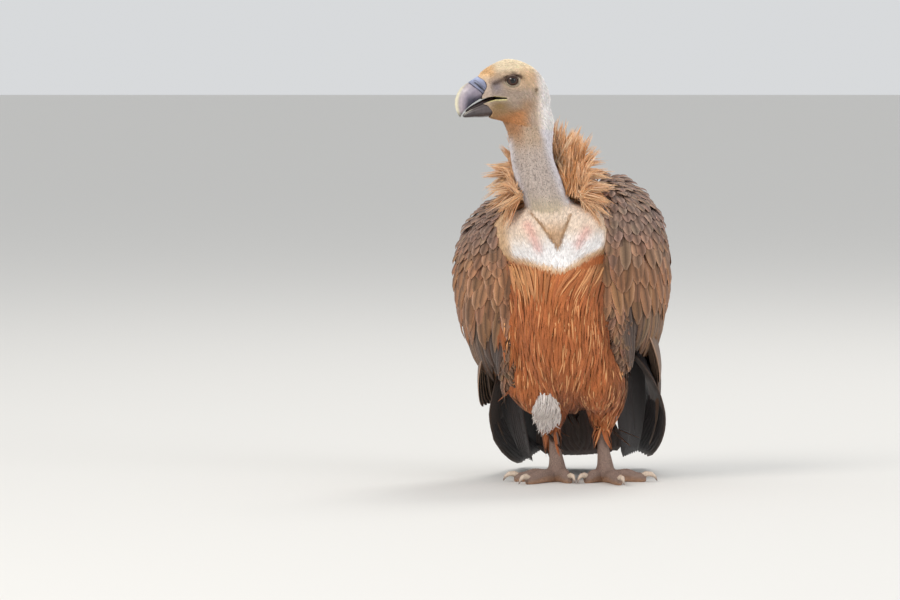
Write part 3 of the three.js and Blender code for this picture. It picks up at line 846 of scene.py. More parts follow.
# %% The speckle group
speckle, enter, leave = group_of(
    "speckle",
    [("Color", "Colour"), ("Float", "Scale", 300.0), ("Float", "Strength", 0.2)],
    [("Color", "Colour"), ("Float", "Height")],
)
spots = node(speckle, "TexNoise", Vector=object_place(speckle), Scale=enter.outputs["Scale"], Detail=3.0)
lifted = times(speckle, minus(speckle, spots.outputs[0], 0.5), enter.outputs["Strength"])
bright = plus(speckle, 1.0, times(speckle, lifted, 2.6))
shade = node(speckle, "CombineColor", Red=bright, Green=bright, Blue=bright).outputs[0]
speckle.links.new(mixed(speckle, 1.0, enter.outputs["Colour"], shade, "MULTIPLY"), leave.inputs["Colour"])
speckle.links.new(spots.outputs[0], leave.inputs["Height"])

# %% The vane group
vane, enter, leave = group_of(
    "vane",
    [("Color", "Colour"), ("Color", "Shaft"), ("Float", "Shaft width", 0.1), ("Float", "Shaft share", 1.0),
     ("Float", "Edge", 0.3), ("Float", "Edge start", 0.45), ("Float", "Middle", 0.2), ("Float", "Tip", 0.0),
     ("Float", "Barbs", 20.0), ("Float", "Barb strength", 0.1)],
    [("Color", "Colour"), ("Float", "Height")],
)
parts = node(vane, "SeparateXYZ", Vector=attribute(vane, "vane").outputs["Vector"])
across, along, luck = parts.outputs[0], parts.outputs[1], parts.outputs[2]
off_middle = maths(vane, "ABSOLUTE", across)
barbs = enter.outputs["Barbs"]
slant = minus(vane, times(vane, along, barbs), times(vane, off_middle, times(vane, barbs, 0.14)))
slant = plus(vane, slant, times(vane, luck, 9.0))
barb = maths(vane, "SINE", times(vane, slant, 6.283))
barb_light = times(vane, barb, enter.outputs["Barb strength"])
edge_share = node(vane, "MapRange", {"interpolation_type": "SMOOTHSTEP"}, Value=off_middle)
vane.links.new(enter.outputs["Edge start"], edge_share.inputs["From Min"])
edge = times(vane, edge_share.outputs[0], enter.outputs["Edge"])
tip = times(vane, climb(vane, along, 0.8, 1.0), enter.outputs["Tip"])
middle = times(vane, climb(vane, off_middle, 0.7, 0.1), enter.outputs["Middle"])
bright = plus(vane, plus(vane, 1.0, plus(vane, edge, tip)), minus(vane, barb_light, middle))
bright = times(vane, bright, plus(vane, 0.82, times(vane, luck, 0.36)))
shade = node(vane, "CombineColor", Red=bright, Green=bright, Blue=bright).outputs[0]
body = mixed(vane, 1.0, enter.outputs["Colour"], shade, "MULTIPLY")
quill = maths(vane, "LESS_THAN", off_middle, enter.outputs["Shaft width"])
quill = times(vane, quill, climb(vane, along, 0.97, 0.75))
lot = maths(vane, "FRACT", times(vane, luck, 7.3))
quill = times(vane, quill, maths(vane, "LESS_THAN", lot, enter.outputs["Shaft share"]))
vane.links.new(mixed(vane, quill, body, enter.outputs["Shaft"]), leave.inputs["Colour"])
rachis = times(vane, quill, 1.5)
vane.links.new(plus(vane, rachis, times(vane, barb, 0.5)), leave.inputs["Height"])


def placed_group(tree, group, **inputs):
    """A node that holds a group, each input either a value or another node's socket."""
    made = tree.nodes.new("ShaderNodeGroup")
    made.node_tree = group
    for label, value in inputs.items():
        socket = made.inputs[label.replace("_", " ")]
        if isinstance(value, bpy.types.NodeSocket):
            tree.links.new(value, socket)
        else:
            socket.default_value = (*value[:3], 1) if socket.type == "RGBA" else value
    return made


def dyed(tree, scale, strength):
    """The markings, broken up by a fine speckle."""
    markings = attribute(tree, "dye").outputs["Color"]
    return placed_group(tree, speckle, Colour=markings, Scale=scale, Strength=strength)


def relief(tree, shader, height, distance, strength):
    """Feeds a height, in metres at its most, to the shader as a bump."""
    made = node(tree, "Bump", Height=height, Distance=distance, Strength=strength)
    tree.links.new(made.outputs[0], shader.inputs["Normal"])


def feather_finish(name, shaft, shaft_width, edge, middle, tip, barbs, barb_strength, roughness, fine,
                   shaft_share=1.0, edge_start=0.45):
    """A finish for vanes that carry their own colour: the vane group's parts over a fine speckle."""
    made, tree, shader = material(
        name, roughness, Sheen_Weight=0.12, Sheen_Roughness=0.5, Specular_IOR_Level=0.25)
    grain = dyed(tree, fine, 0.22)
    parts = placed_group(
        tree, vane, Colour=grain.outputs["Colour"], Shaft=shaft, Shaft_width=shaft_width,
        Shaft_share=shaft_share, Edge=edge, Edge_start=edge_start, Middle=middle, Tip=tip, Barbs=barbs,
        Barb_strength=barb_strength,
    )
    tree.links.new(parts.outputs["Colour"], shader.inputs["Base Color"])
    relief(tree, shader, parts.outputs["Height"], 0.0002, 0.5)
    return made


# %% The skin's finish
skin_look, tree, shader = material("bird_skin", 0.66, Specular_IOR_Level=0.35)
grain = dyed(tree, 420, 0.4)
scales = node(tree, "TexVoronoi", {"feature": "DISTANCE_TO_EDGE"}, Vector=object_place(tree), Scale=430.0)
seams = climb(tree, scales.outputs["Distance"], 0.0, 0.16)
where = node(tree, "SeparateXYZ", Vector=object_place(tree))
scaly = climb(tree, where.outputs[2], 0.13, 0.10)
seam_dark = times(tree, scaly, minus(tree, 1.0, seams))
seamed = mixed(tree, times(tree, seam_dark, 0.5), grain.outputs["Colour"], paint(84, 66, 56))
tree.links.new(seamed, shader.inputs["Base Color"])
skin_height = plus(tree, times(tree, seams, scaly), times(tree, grain.outputs["Height"], 0.4))
relief(tree, shader, skin_height, 0.0006, 0.7)
skin.data.materials.clear()
skin.data.materials.append(skin_look)
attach(skin, "root")
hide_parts(*COAT_DEPTH)

# %% [markdown]
# ## Eyes
# A young griffon's eye is dark brown. The ball is a fine sphere that swells into the cornea in front. The
# iris and the pupil are drawn by how far each point is from the eye's axis, which every point of the ball
# carries as a number, and a clear coat on top gives the wet shine.

# %% Eyeballs
CORNEA_RISE = 0.7
eyes_bm = bmesh.new()
for side in (-1, 1):
    turn = Matrix.Rotation(math.radians(90 * side), 4, "Y")
    bmesh.ops.create_uvsphere(eyes_bm, u_segments=48, v_segments=40, radius=EYE_RADIUS,
                              matrix=HEAD @ Matrix.Translation((side * EYE_APART, 0, 0)) @ turn)
eyes = object_of(eyes_bm, "eyes")
co = points_of(eyes.data)
ahead, above, out, side = face_place(co)
from_axis = np.hypot(ahead, above) / EYE_RADIUS
front = out > EYE_APART
cornea = CORNEA_RISE * ease(0.75, 0.2, from_axis) * front
set_points(eyes.data, co + turned(HEAD, np.stack([side, 0 * side, 0 * side], 1)) * (cornea * MM)[:, None])
axis_layer = eyes.data.attributes.new("from_axis", "FLOAT", "POINT")
axis_layer.data.foreach_set("value", np.where(front, from_axis, 1.2).astype(np.float32))
shade_smooth(eyes)
eye_look, tree, shader = material("eye", 0.12, Coat_Weight=0.4, Coat_Roughness=0.03, Specular_IOR_Level=0.3)
axis = attribute(tree, "from_axis").outputs["Fac"]
rays = node(tree, "TexNoise", Vector=object_place(tree), Scale=900.0)
brown = mixed(tree, rays.outputs[0], paint(44, 23, 15), paint(74, 40, 26))
iris = mixed(tree, climb(tree, axis, 0.42, 0.47), paint(4, 3, 4), brown)
ringed = mixed(tree, climb(tree, axis, 0.66, 0.8), iris, paint(18, 12, 10))
tree.links.new(ringed, shader.inputs["Base Color"])
eyes.data.materials.append(eye_look)
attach(eyes, "root")
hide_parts("eye_right", "eye_left")

# %% [markdown]
# ## Bill
# The bill has a soft blue-grey cere with slanting nostrils, a horn hook that is ivory in front and slate
# at its cutting edge, and a dark lower bill. Each solid is wrapped in a fine net and evened, which takes
# its flat faces away and keeps its outline. Their colours follow how far ahead of the eyes and how high a
# point is.

# %% Bill pieces
BILL_NET = 0.0007


def horn_piece(solids, label, rounds):
    made = wrapped(together(solids, label), BILL_NET)
    set_points(made.data, evened(points_of(made.data), edges_of(made.data), rounds))
    shade_smooth(made)
    return made


cere = horn_piece(["cere"], "cere_skin", 9)
upper_bill = horn_piece(["beak_upper"], "upper_bill", 14)
lower_bill = horn_piece(["beak_lower"], "lower_bill", 14)


def seam_gap(ahead, above):
    """How far ahead of the seam between cere and horn a point is."""
    return (ahead - 72) * 0.64 + (above + 3) * -0.77


def cere_colour(co):
    ahead, above, out, _ = face_place(co)
    dye = even_dye(paint(128, 132, 158), co)
    dye = blend(dye, paint(172, 182, 214), ease(-6, 6, above))
    dye = blend(dye, paint(106, 104, 122), ease(-12, -22, above))
    # The nostril slit is painted near-black: painted shade inside its opening.
    slit, _ = near_line(np.stack([ahead, above], 1), (61.5, -4.0), (46.5, -17.5))
    dye = blend(dye, paint(14, 11, 12), bump(slit, 1.5) * (out > 5))
    dye = blend(dye, paint(84, 80, 94), 0.7 * bump(np.abs(slit + 4.2), 0.9) * (out > 5))
    rear, _ = near_line(np.stack([ahead, above], 1), (46, 10.6), (41, -18.6))
    return blend(dye, paint(44, 38, 46), 0.85 * bump(rear, 1.3))


def inside_culmen(ahead, above):
    """How far inside the bill's front curve, which is close to part of a ring, a point is from the side."""
    return 50.0 - np.hypot(ahead - 46.0, above + 39.5)


def upper_colour(co):
    ahead, above, out, _ = face_place(co)
    culmen = inside_culmen(ahead, above)
    dye = even_dye(paint(142, 132, 146), co)
    dye = blend(dye, paint(226, 218, 190), ease(9, 3, culmen))
    dye = blend(dye, paint(186, 172, 176), 0.7 * bump(culmen - 10, 4))
    dye = blend(dye, paint(70, 68, 84), ease(15, 24, culmen) * ease(-20, -34, above))
    dye = blend(dye, paint(58, 62, 74), 0.8 * ease(-52, -62, above))
    return blend(dye, paint(96, 92, 108), 0.5 * ease(3, 0.5, seam_gap(ahead, above)))


def lower_colour(co):
    ahead, above, _, _ = face_place(co)
    top = np.interp(ahead, [4, 24, 38, 52, 64, 75, 82], [-33, -33, -35, -40.5, -46, -53.5, -60])
    dye = even_dye(paint(86, 76, 76), co)
    dye = blend(dye, paint(62, 54, 56), ease(-50, -60, above))
    return blend(dye, paint(206, 200, 186), 0.9 * bump(top - above - 1.0, 1.6) * ease(84, 74, ahead))


def horn_finish(name, roughness, streaks):
    made, tree, shader = material(name, roughness, Coat_Weight=0.25, Coat_Roughness=0.25)
    grain = dyed(tree, 260, 0.14)
    turn = node(tree, "Mapping", Vector=object_place(tree), Scale=(1.0, 1.0, 0.16))
    lines = node(tree, "TexNoise", Vector=turn.outputs[0], Scale=streaks, Detail=4.0)
    dull = times(tree, minus(tree, lines.outputs[0], 0.5), 0.5)
    dark = plus(tree, 1.0, dull)
    streak = node(tree, "CombineColor", Red=dark, Green=dark, Blue=dark).outputs[0]
    streaked = mixed(tree, 1.0, grain.outputs["Colour"], streak, "MULTIPLY")
    tree.links.new(streaked, shader.inputs["Base Color"])
    tree.links.new(plus(tree, roughness, dull), shader.inputs["Roughness"])
    relief(tree, shader, lines.outputs[0], 0.0004, 0.35)
    return made


horn_look = horn_finish("bill_horn", 0.36, 320)
cere_look = horn_finish("cere", 0.48, 500)
for piece, colour, look, node_name, slot in (
    (cere, cere_colour, cere_look, "cere", "cere"),
    (upper_bill, upper_colour, horn_look, "beak_upper", "beak_horn"),
    (lower_bill, lower_colour, horn_look, "beak_lower", "beak_horn"),
):
    write_colour(piece.data, "dye", colour(points_of(piece.data)))
    piece.data.materials.clear()
    piece.data.materials.append(look)
    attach(piece, "root")
    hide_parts(node_name)
    print(piece.name, len(piece.data.polygons), "faces")

# %% [markdown]
# The open bill shows a dark mouth. One flat rounded piece, the tongue, fills the slit between the cheeks.

# %% Tongue
TONGUE_MIDDLE = (0, -44, -38.5)
tongue_bm = bmesh.new()
bmesh.ops.create_uvsphere(tongue_bm, u_segments=32, v_segments=16, radius=1.0, matrix=HEAD
                          @ Matrix.Translation(TONGUE_MIDDLE) @ Matrix.Rotation(math.radians(25), 4, "X")
                          @ Matrix.Diagonal((9.5, 36, 5.5, 1)))
tongue = object_of(tongue_bm, "tongue")
shade_smooth(tongue)
tongue_look, tree, shader = material("mouth_lining", 0.5)
# The tongue is coloured near-black to dark red: painted shade of the inside of the mouth.
spots = node(tree, "TexNoise", Vector=object_place(tree), Scale=300.0)
spotted = mixed(tree, spots.outputs[0], paint(14, 9, 9), paint(48, 24, 24))
tree.links.new(spotted, shader.inputs["Base Color"])
tongue.data.materials.append(tongue_look)
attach(tongue, "root")

# %% [markdown]
# ## Claws
# The claws stay solid horn. Copies of the eight solids are wrapped in a fine net and evened, as the bill
# is, and coloured pale high up and grey at the floor.

# %% Claws
CLAW_NODES = [f"claw_{toe}_{side}" for side in SIDES for toe in ("inner", "middle", "outer", "hind")]
claws = horn_piece(CLAW_NODES, "claws", 5)
co = points_of(claws.data)
pale = ease(2, 14, floor_place(co)[:, 2])
claw_dye = even_dye(paint(118, 102, 94), co)
write_colour(claws.data, "dye", blend(claw_dye, paint(206, 186, 166), pale))
claws.data.materials.clear()
claws.data.materials.append(horn_finish("claw_horn", 0.38, 420))
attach(claws, "root")
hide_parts(*CLAW_NODES)
print("claws", len(claws.data.polygons), "faces")

# %% [markdown]
# ## How a feather is made
# A feather of the coat is a thin closed tube, flat below and ridged above, that narrows to a tip. One is
# made with bmesh: a ring with few sides, closed by a face and drawn out row by row. Each of its points
# keeps how far across and how far along the feather it is. Numpy then sets thousands of copies over the
# skin in one go, which is an array in all but name, and joins them in one mesh.

# %% The patterns that all feathers are copies of
def feather_tube(sides, rows):
    """Points (across -1..1, row, ridge 0..1) and faces of a tube whose last side is flat."""
    bm = bmesh.new()
    bmesh.ops.create_circle(bm, cap_ends=True, segments=sides, radius=1)
    for row in range(rows):
        bm.faces.ensure_lookup_table()
        top = max(bm.faces, key=lambda f: f.calc_center_median().z)
        out = bmesh.ops.extrude_face_region(bm, geom=[top])
        drawn = [g for g in out["geom"] if isinstance(g, bmesh.types.BMVert)]
        bmesh.ops.translate(bm, vec=(0, 0, 1), verts=drawn)
        if row:  # the first ring's face stays as the root's cap
            bmesh.ops.delete(bm, geom=[top], context="FACES_ONLY")
    bmesh.ops.recalc_face_normals(bm, faces=bm.faces)
    bm.verts.index_update()
    places = []
    for vert in bm.verts:
        corner = round(math.atan2(vert.co.y, vert.co.x) / (2 * math.pi) * sides) % sides
        across = -1 + 2 * corner / (sides - 1)
        places.append((across, round(vert.co.z), 1 - across**2))
    faces = [[v.index for v in f.verts] for f in bm.faces]
    bm.free()
    return np.array(places, float), faces


def feather_sheet(columns, rows):
    """The same for a broad feather, as a sheet with two sides and a rim."""
    bm = bmesh.new()
    bmesh.ops.create_grid(bm, x_segments=columns, y_segments=rows, size=1)
    bmesh.ops.solidify(bm, geom=bm.faces[:], thickness=0.1)
    bmesh.ops.recalc_face_normals(bm, faces=bm.faces)
    bm.verts.index_update()
    heights = np.array([v.co.z for v in bm.verts])
    upper = heights > (heights.max() + heights.min()) / 2
    places = [(v.co.x, (v.co.y + 1) / 2 * rows, float(u)) for v, u in zip(bm.verts, upper)]
    faces = [[v.index for v in f.verts] for f in bm.faces]
    bm.free()
    return np.round(np.array(places, float), 4), faces


def facing(places, faces):
    """The faces, turned if needed so that the ridged side looks up once the feather is set out."""
    shape = np.c_[places[:, 0], places[:, 1], places[:, 2] * 0.1]
    volume = 0
    for face in faces:
        a = shape[face[0]]
        for b, c in zip(face[1:], face[2:]):
            volume += np.dot(a, np.cross(shape[b], shape[c]))
    return faces if volume > 0 else [face[::-1] for face in faces]


# %% Setting copies of a feather out along their own lines
PATCH = 0.003  # the size of each small feather's patch on the map that the colours are baked through


def set_out(name, pattern, line, up, width, profile, look, dye, patch, thick=0.0006, camber=0.25,
            patch_size=(PATCH, PATCH), ragged=0.0, lopsided=0.0, even=0.0):
    """One mesh of many feathers.

    line and up are each feather's middle line and its upper side, row by row. width is its half width in
    metres, and profile gives the share of that width at each row. dye is its colour, and patch its place on
    the map. thick is the height of its ridge, and camber, ragged and lopsided are shares of its half width.
    even is how far the feathers are shaded as one soft surface instead of each by itself.
    """
    places, faces = pattern
    count, rows = line.shape[:2]
    faces = facing(places, faces)
    row = places[:, 1].round().astype(int)
    across = places[:, 0]
    luck = chance.random(count)
    tangent = unit(np.gradient(line, axis=1))
    sideways = unit(np.cross(tangent, up))
    share = np.asarray(profile, float)
    share = np.broadcast_to(share, (count, rows)) if share.ndim == 1 else share
    half = (width[:, None] * share)[:, row]
    if ragged:
        rough = 1 + ragged * (chance.random((count, len(row))) - 0.5) * (np.abs(across) > 0.9)
        half = half * rough
    slant = 1 + lopsided * across
    ridge = (places[:, 2] * thick)[None, :] * np.maximum(share[:, row], 0.35)
    bow = camber * half * (1 - across**2)[None, :]
    co = line[:, row] + sideways[:, row] * (half * across * slant)[..., None]
    co = co + up[:, row] * (bow + ridge)[..., None]
    starts = np.arange(count) * len(places)
    sizes = np.array([len(face) for face in faces])
    flat = np.concatenate(faces)
    corners = (starts[:, None] + flat[None, :]).ravel()
    totals = np.tile(sizes, count)
    mesh = bpy.data.meshes.new(name)
    mesh.vertices.add(count * len(places))
    mesh.vertices.foreach_set("co", co.astype(np.float32).ravel())
    mesh.loops.add(len(corners))
    mesh.loops.foreach_set("vertex_index", corners.astype(np.int32))
    mesh.polygons.add(len(totals))
    mesh.polygons.foreach_set("loop_start", np.r_[0, np.cumsum(totals)[:-1]].astype(np.int32))
    mesh.polygons.foreach_set("use_smooth", np.ones(len(totals), bool))
    mesh.update(calc_edges=True)
    if even:
        own = np.empty(len(mesh.vertices) * 3, np.float32)
        mesh.vertex_normals.foreach_get("vector", own)
        shared = unit(own.reshape(-1, 3) * (1 - even) + up[:, row].reshape(-1, 3) * even)
        mesh.normals_split_custom_set_from_vertices(shared)
    along = row / (rows - 1)
    dye = np.asarray(dye, float)
    dye = np.broadcast_to(dye[:, None], (count, rows, 3)) if dye.ndim == 2 else dye
    write_colour(mesh, "dye", dye[:, row].reshape(-1, 3))
    numbers = [np.broadcast_to(one, (count, len(row))) for one in (across, along, luck[:, None])]
    numbers = np.stack(numbers, -1).astype(np.float32)
    mesh.attributes.new("vane", "FLOAT_VECTOR", "POINT").data.foreach_set("vector", numbers.ravel())
    uv = patch[:, None] + np.stack([across * 0.5, along - 0.5], 1)[None] * np.array(patch_size)
    layer = mesh.uv_layers.new(name="OFBake")
    layer.uv.foreach_set("vector", uv.reshape(-1, 2)[corners].astype(np.float32).ravel())
    made = bpy.data.objects.new(name, mesh)
    bpy.context.scene.collection.objects.link(made)
    made.data.materials.append(look)
    total = int((sizes - 2).sum() * count)
    print(name, count, "feathers,", total, "triangles")
    return made


# %% [markdown]
# ## Where feathers grow and how they lie
# Roots are scattered over the outside of each solid and moved in to the skin, no closer together than a
# feather's own spacing, so they cover it evenly without rows that look ruled. From its root each feather
# is combed along the skin a step at a time: at every step it follows the lie of the plumage there and
# rises a little, so that it lies over the feathers below it as a roof's slates do.

# %% Scattering
skin_tree = tree_of(skin)
FLOOR_CLEAR = 0.004  # no feather hangs lower than this, in metres


def scattered(names, spacing, keep=None, tries=5.0, reach=0.014):
    """Roots on the skin under some solids: their places, their normals and the solid's name of each."""
    places, ways, owners = [], [], []
    for name in names:
        bm = merged_copy(name)
        bmesh.ops.triangulate(bm, faces=bm.faces[:])
        triangles = np.array([[v.co[:] for v in f.verts] for f in bm.faces])
        bm.free()
        edge_one, edge_two = triangles[:, 1] - triangles[:, 0], triangles[:, 2] - triangles[:, 0]
        area = np.linalg.norm(np.cross(edge_one, edge_two), axis=1) / 2
        finest = spacing if np.isscalar(spacing) else spacing(triangles.mean(1)).min()
        number = int(area.sum() / finest**2 * tries)
        pick = chance.choice(len(area), number, p=area / area.sum())
        a, b = chance.random((2, number, 1))
        a, b = np.where(a + b > 1, 1 - a, a), np.where(a + b > 1, 1 - b, b)
        tri = triangles[pick]
        spots = tri[:, 0] + a * (tri[:, 1] - tri[:, 0]) + b * (tri[:, 2] - tri[:, 0])
        for spot in spots[keep(spots)] if keep else spots:
            root, way, _, far = skin_tree.find_nearest(spot)
            if far < reach:
                places.append(root[:])
                ways.append(way[:])
                owners.append(name)
    places, ways, owners = np.array(places), np.array(ways), np.array(owners)
    gaps = np.full(len(places), spacing) if np.isscalar(spacing) else spacing(places)
    near = kdtree.KDTree(len(places))
    for index, place in enumerate(places):
        near.insert(place, index)
    near.balance()
    free = np.ones(len(places), bool)
    chosen = []
    for index in chance.permutation(len(places)):
        if free[index]:
            chosen.append(index)
            for _, other, _ in near.find_range(places[index], gaps[index]):
                free[other] = False
    chosen = np.array(chosen)
    return places[chosen], ways[chosen], owners[chosen], gaps[chosen]


def tangent_of(ways, normals):
    return unit(ways - normals * (ways * normals).sum(-1, keepdims=True))


def combed(roots, normals, lengths, lie, rows, rise, stray):
    """Lines that run along the skin from each root, and the upper side at each row.

    lie(places) gives the way that plumage points. rise(t) is how far a feather stands off the skin, in
    metres, at each share of its length. A line that runs past an edge goes straight on and droops a little.
    """
    count = len(roots)
    line = np.empty((count, rows + 1, 3))
    up = np.empty((count, rows + 1, 3))
    base, normal = roots.copy(), unit(normals)
    free = np.zeros(count, bool)
    turn = chance.normal(0, stray, count)
    lift = 0.6 + 0.8 * chance.random(count)
    way = tangent_of(lie(base), normal)
    stride = lengths / rows
    line[:, 0] = base + normal * rise(0) * lift[:, None]
    up[:, 0] = normal
    for k in range(1, rows + 1):
        fresh = tangent_of(lie(base), normal)
        beside = np.cross(normal, fresh)
        fresh = unit(fresh + beside * turn[:, None])
        way = np.where(free[:, None], unit(way + np.array((0, 0, -0.06))), unit(way * 0.35 + fresh * 0.65))
        forward = base + way * stride[:, None]
        for i in np.flatnonzero(~free):
            hit, hit_way, _, far = skin_tree.find_nearest(forward[i])
            hit_way = np.array(hit_way)
            if hit_way @ normal[i] < 0.45 or far > 0.02:
                free[i] = True
            else:
                forward[i] = hit
                normal[i] = unit(normal[i] * 0.4 + hit_way * 0.6)
        base = forward
        height = rise(k / rows) * lift
        line[:, k] = base + normal * height[:, None]
        up[:, k] = normal
    line[..., 2] = np.maximum(line[..., 2], FLOOR_CLEAR)
    return line, up


def unwrapped(places):
    """Each root's place, 0 to 1, on an unwrap of the skin.

    It goes by angle round the upright middle line of its own part and by height along it, so that the
    unwrap follows the form and not a view.
    """
    low, high = places.min(0), places.max(0)
    middle = (low + high) / 2
    angle = np.arctan2(places[:, 0] - middle[0], -(places[:, 1] - middle[1]))
    angle = (angle - angle.min()) / max(np.ptp(angle), 1e-6)
    height = (places[:, 2] - low[2]) / max(high[2] - low[2], 1e-6)
    return 0.01 + 0.98 * np.stack([angle, height], 1)


def varied(dye, spread):
    """The colours, each a little lighter or darker and a little warmer or cooler than the next."""
    bright = 1 + chance.normal(0, spread, (len(dye), 1))
    warm = 1 + chance.normal(0, spread * 0.25, (len(dye), 3))
    return np.clip(dye * bright * warm, 0.002, 1)


# %% The ways that the plumage lies
def head_lie(places):
    ahead, above, out, _ = face_place(places)
    down = ease(15, -50, ahead)
    local = np.stack([0 * ahead, 1.0 - 0.6 * down, -0.25 - 0.9 * down], 1)
    return turned(HEAD, local)


def neck_lie(places):
    high = floor_place(places)[:, 2]
    across = np.interp(high, [440, 500, 560, 640], [0.25, 0.42, 0.2, 0.0])
    return unit(np.stack([across, -0.1 + 0 * high, -1 + 0 * high], 1))


def crop_lie(places):
    at = floor_place(places)
    inward = -0.6 * np.clip((at[:, 0] + 12) / 60, -1, 1)
    return unit(np.stack([inward, 0 * inward - 0.1, -1 + 0 * inward], 1))


def breast_lie(places):
    at = body_place(places)
    inward = -1.3 * np.clip((at[:, 0] + 14) / 60, -1, 1) * ease(285, 390, at[:, 2])
    back = 0.25 + 0.5 * ease(190, 120, at[:, 2])
    return unit(np.stack([inward, back, -1 + 0 * inward], 1))


def thigh_lie(places):
    beside = floor_place(places)[:, 0] - 28
    outward = 0.1 * np.sign(beside) * ease(40, 70, np.abs(beside))
    return unit(np.stack([outward, 0.2 + 0 * beside, -1 + 0 * beside], 1))


def wing_lie(places):
    at = body_place(places)
    back = 0.15 + 0.75 * ease(470, 230, at[:, 2])
    inward = -0.34 * np.sign(at[:, 0]) * ease(340, 240, at[:, 2])
    return unit(np.stack([inward, back, -1 + 0 * back], 1))


# %% [markdown]
# ## Down of the head and neck
# A griffon's head and neck wear short dense down, finest on the face. Each tuft is a three-sided sliver
# of about two to seven millimetres. None grows on the lids, the bill's edge or the gape.

# %% Down
slim = feather_tube(3, 2)


def bare_face(co):
    """True on lids, gape and bill, where no down grows."""
    ahead, above, out, _ = face_place(co)
    gap, half = gape_place(ahead, above)
    on_gape = (np.abs(gap) < half + 2.6) & (ahead > 7)
    in_bill = (ahead > 36) & (above > -66) & (above < 12) & (ahead - 41 > 0.25 * -np.abs(above))
    return (lid_share(ahead, above) < 1.54) & (out > 12) | on_gape | in_bill


def face_spacing(co):
    ahead, above, out, _ = face_place(co)
    return (1.35 + 0.75 * ease(10, -45, ahead)) * MM


DOWN_FINISH = feather_finish(
    "down", paint(240, 226, 206), shaft_width=0.0, edge=0.1, middle=0.05, tip=0.22, barbs=3.0,
    barb_strength=0.03, roughness=0.9, fine=500,
)
roots, ways, owners, gaps = scattered(["head"], face_spacing, keep=lambda co: ~bare_face(co), reach=0.004)
ahead, above, out, _ = face_place(roots)
lengths = (2.4 + 3.0 * ease(30, -45, ahead)) * MM * (0.8 + 0.5 * chance.random(len(roots)))
line, up = combed(roots, ways, lengths, head_lie, 2, lambda t: 0.0001 + 0.0011 * t, stray=0.3)
head_down = set_out(
    "head_down", slim, line, up, 0.3 * gaps, [1, 0.85, 0.12], DOWN_FINISH,
    varied(colours_of(owners, roots, ways), 0.1), unwrapped(roots), thick=0.0004, even=0.55,
)

roots, ways, owners, gaps = scattered(["neck_upper", "neck_lower"], 1.7 * MM, reach=0.006)
high = floor_place(roots)[:, 2]
dye = varied(colours_of(owners, roots, ways), 0.05)
dark_share = (0.12 + 0.26 * bump(high - 545, 40)) * ease(480, 505, high) * (np.sum(dye, 1) < 2.1)
dark = chance.random(len(roots)) < dark_share
dye = np.where(dark[:, None], dye * np.array((0.24, 0.19, 0.18)), dye)
lengths = (3.4 + 2.0 * chance.random(len(roots))) * np.where(dark, 0.45, 1) * MM
line, up = combed(roots, ways, lengths, neck_lie, 2, lambda t: 0.0001 + 0.0022 * t, stray=0.35)
neck_down = set_out(
    "neck_down", slim, line, up, 0.28 * gaps, [1, 0.9, 0.12], DOWN_FINISH, dye, unwrapped(roots),
    thick=0.0005, even=0.7,
)
for piece, slot in ((head_down, "head_down"), (neck_down, "neck_down")):
    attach(piece, "root")

# %% [markdown]
# ## Soft down on the crop
# The crop is bare of vanes. Soft down of eight to sixteen millimetres covers it, longest on the two white
# lobes at its foot.

# %% Crop down
def on_crop(co):
    """True on the crop, and on the breast between its two lobes."""
    at = floor_place(co)
    return (at[:, 2] > 374 + 0.16 * np.abs(at[:, 0] + 10)) & (at[:, 1] < -40)


soft = feather_tube(3, 4)
CROP_FINISH = feather_finish(
    "crop_down", paint(250, 244, 238), shaft_width=0.0, edge=0.06, middle=0.03, tip=0.08, barbs=2.0,
    barb_strength=0.02, roughness=0.95, fine=260,
)
roots, ways, owners, gaps = scattered(["crop", "trunk"], 1.85 * MM, keep=on_crop)
at = floor_place(roots)
lobe = ease(446, 424, at[:, 2]) * ease(100, 84, np.abs(at[:, 0] + 12))
lengths = (8 + 3 * chance.random(len(roots)) + 5 * lobe) * MM
line, up = combed(roots, ways, lengths, crop_lie, 4, lambda t: 0.0002 + 0.0016 * t**0.8, stray=0.1)
crop_down = set_out(
    "crop_down", soft, line, up, 0.85 * gaps, [0.8, 1, 0.9, 0.6, 0.08], CROP_FINISH,
    varied(crop_colour(roots), 0.012), unwrapped(roots), thick=0.0003, camber=0.05, even=0.9,
)
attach(crop_down, "root")

# %% [markdown]
# ## Body feathers
# The breast, belly, back and thighs wear long narrow feathers with pointed tips. On a young bird each has
# a pale streak down its shaft, which a share of them shows. They lie in toward the midline high on the
# breast, and then straight down.

# %% Body feathers
body_vane = feather_tube(5, 4)
LANCE = [0.5, 0.95, 1.0, 0.72, 0.06]
BODY_FINISH = feather_finish(
    "body_feather", paint(232, 172, 118), shaft_width=0.34, edge=0.16, middle=0.1, tip=0.15, barbs=14.0,
    barb_strength=0.05, roughness=0.9, fine=300, shaft_share=0.22,
)


def body_rise(t):
    return 0.0016 + 0.0056 * min(1, 1.6 * t)


def thigh_lengths(co):
    """Longest low on the outer side, where they hang past the knee."""
    at = floor_place(co)
    outer = ease(30, 60, np.abs(at[:, 0] - 28))
    return 34 + 22 * outer * ease(220, 140, at[:, 2])


def on_front(co):
    return body_place(co)[:, 1] < 30


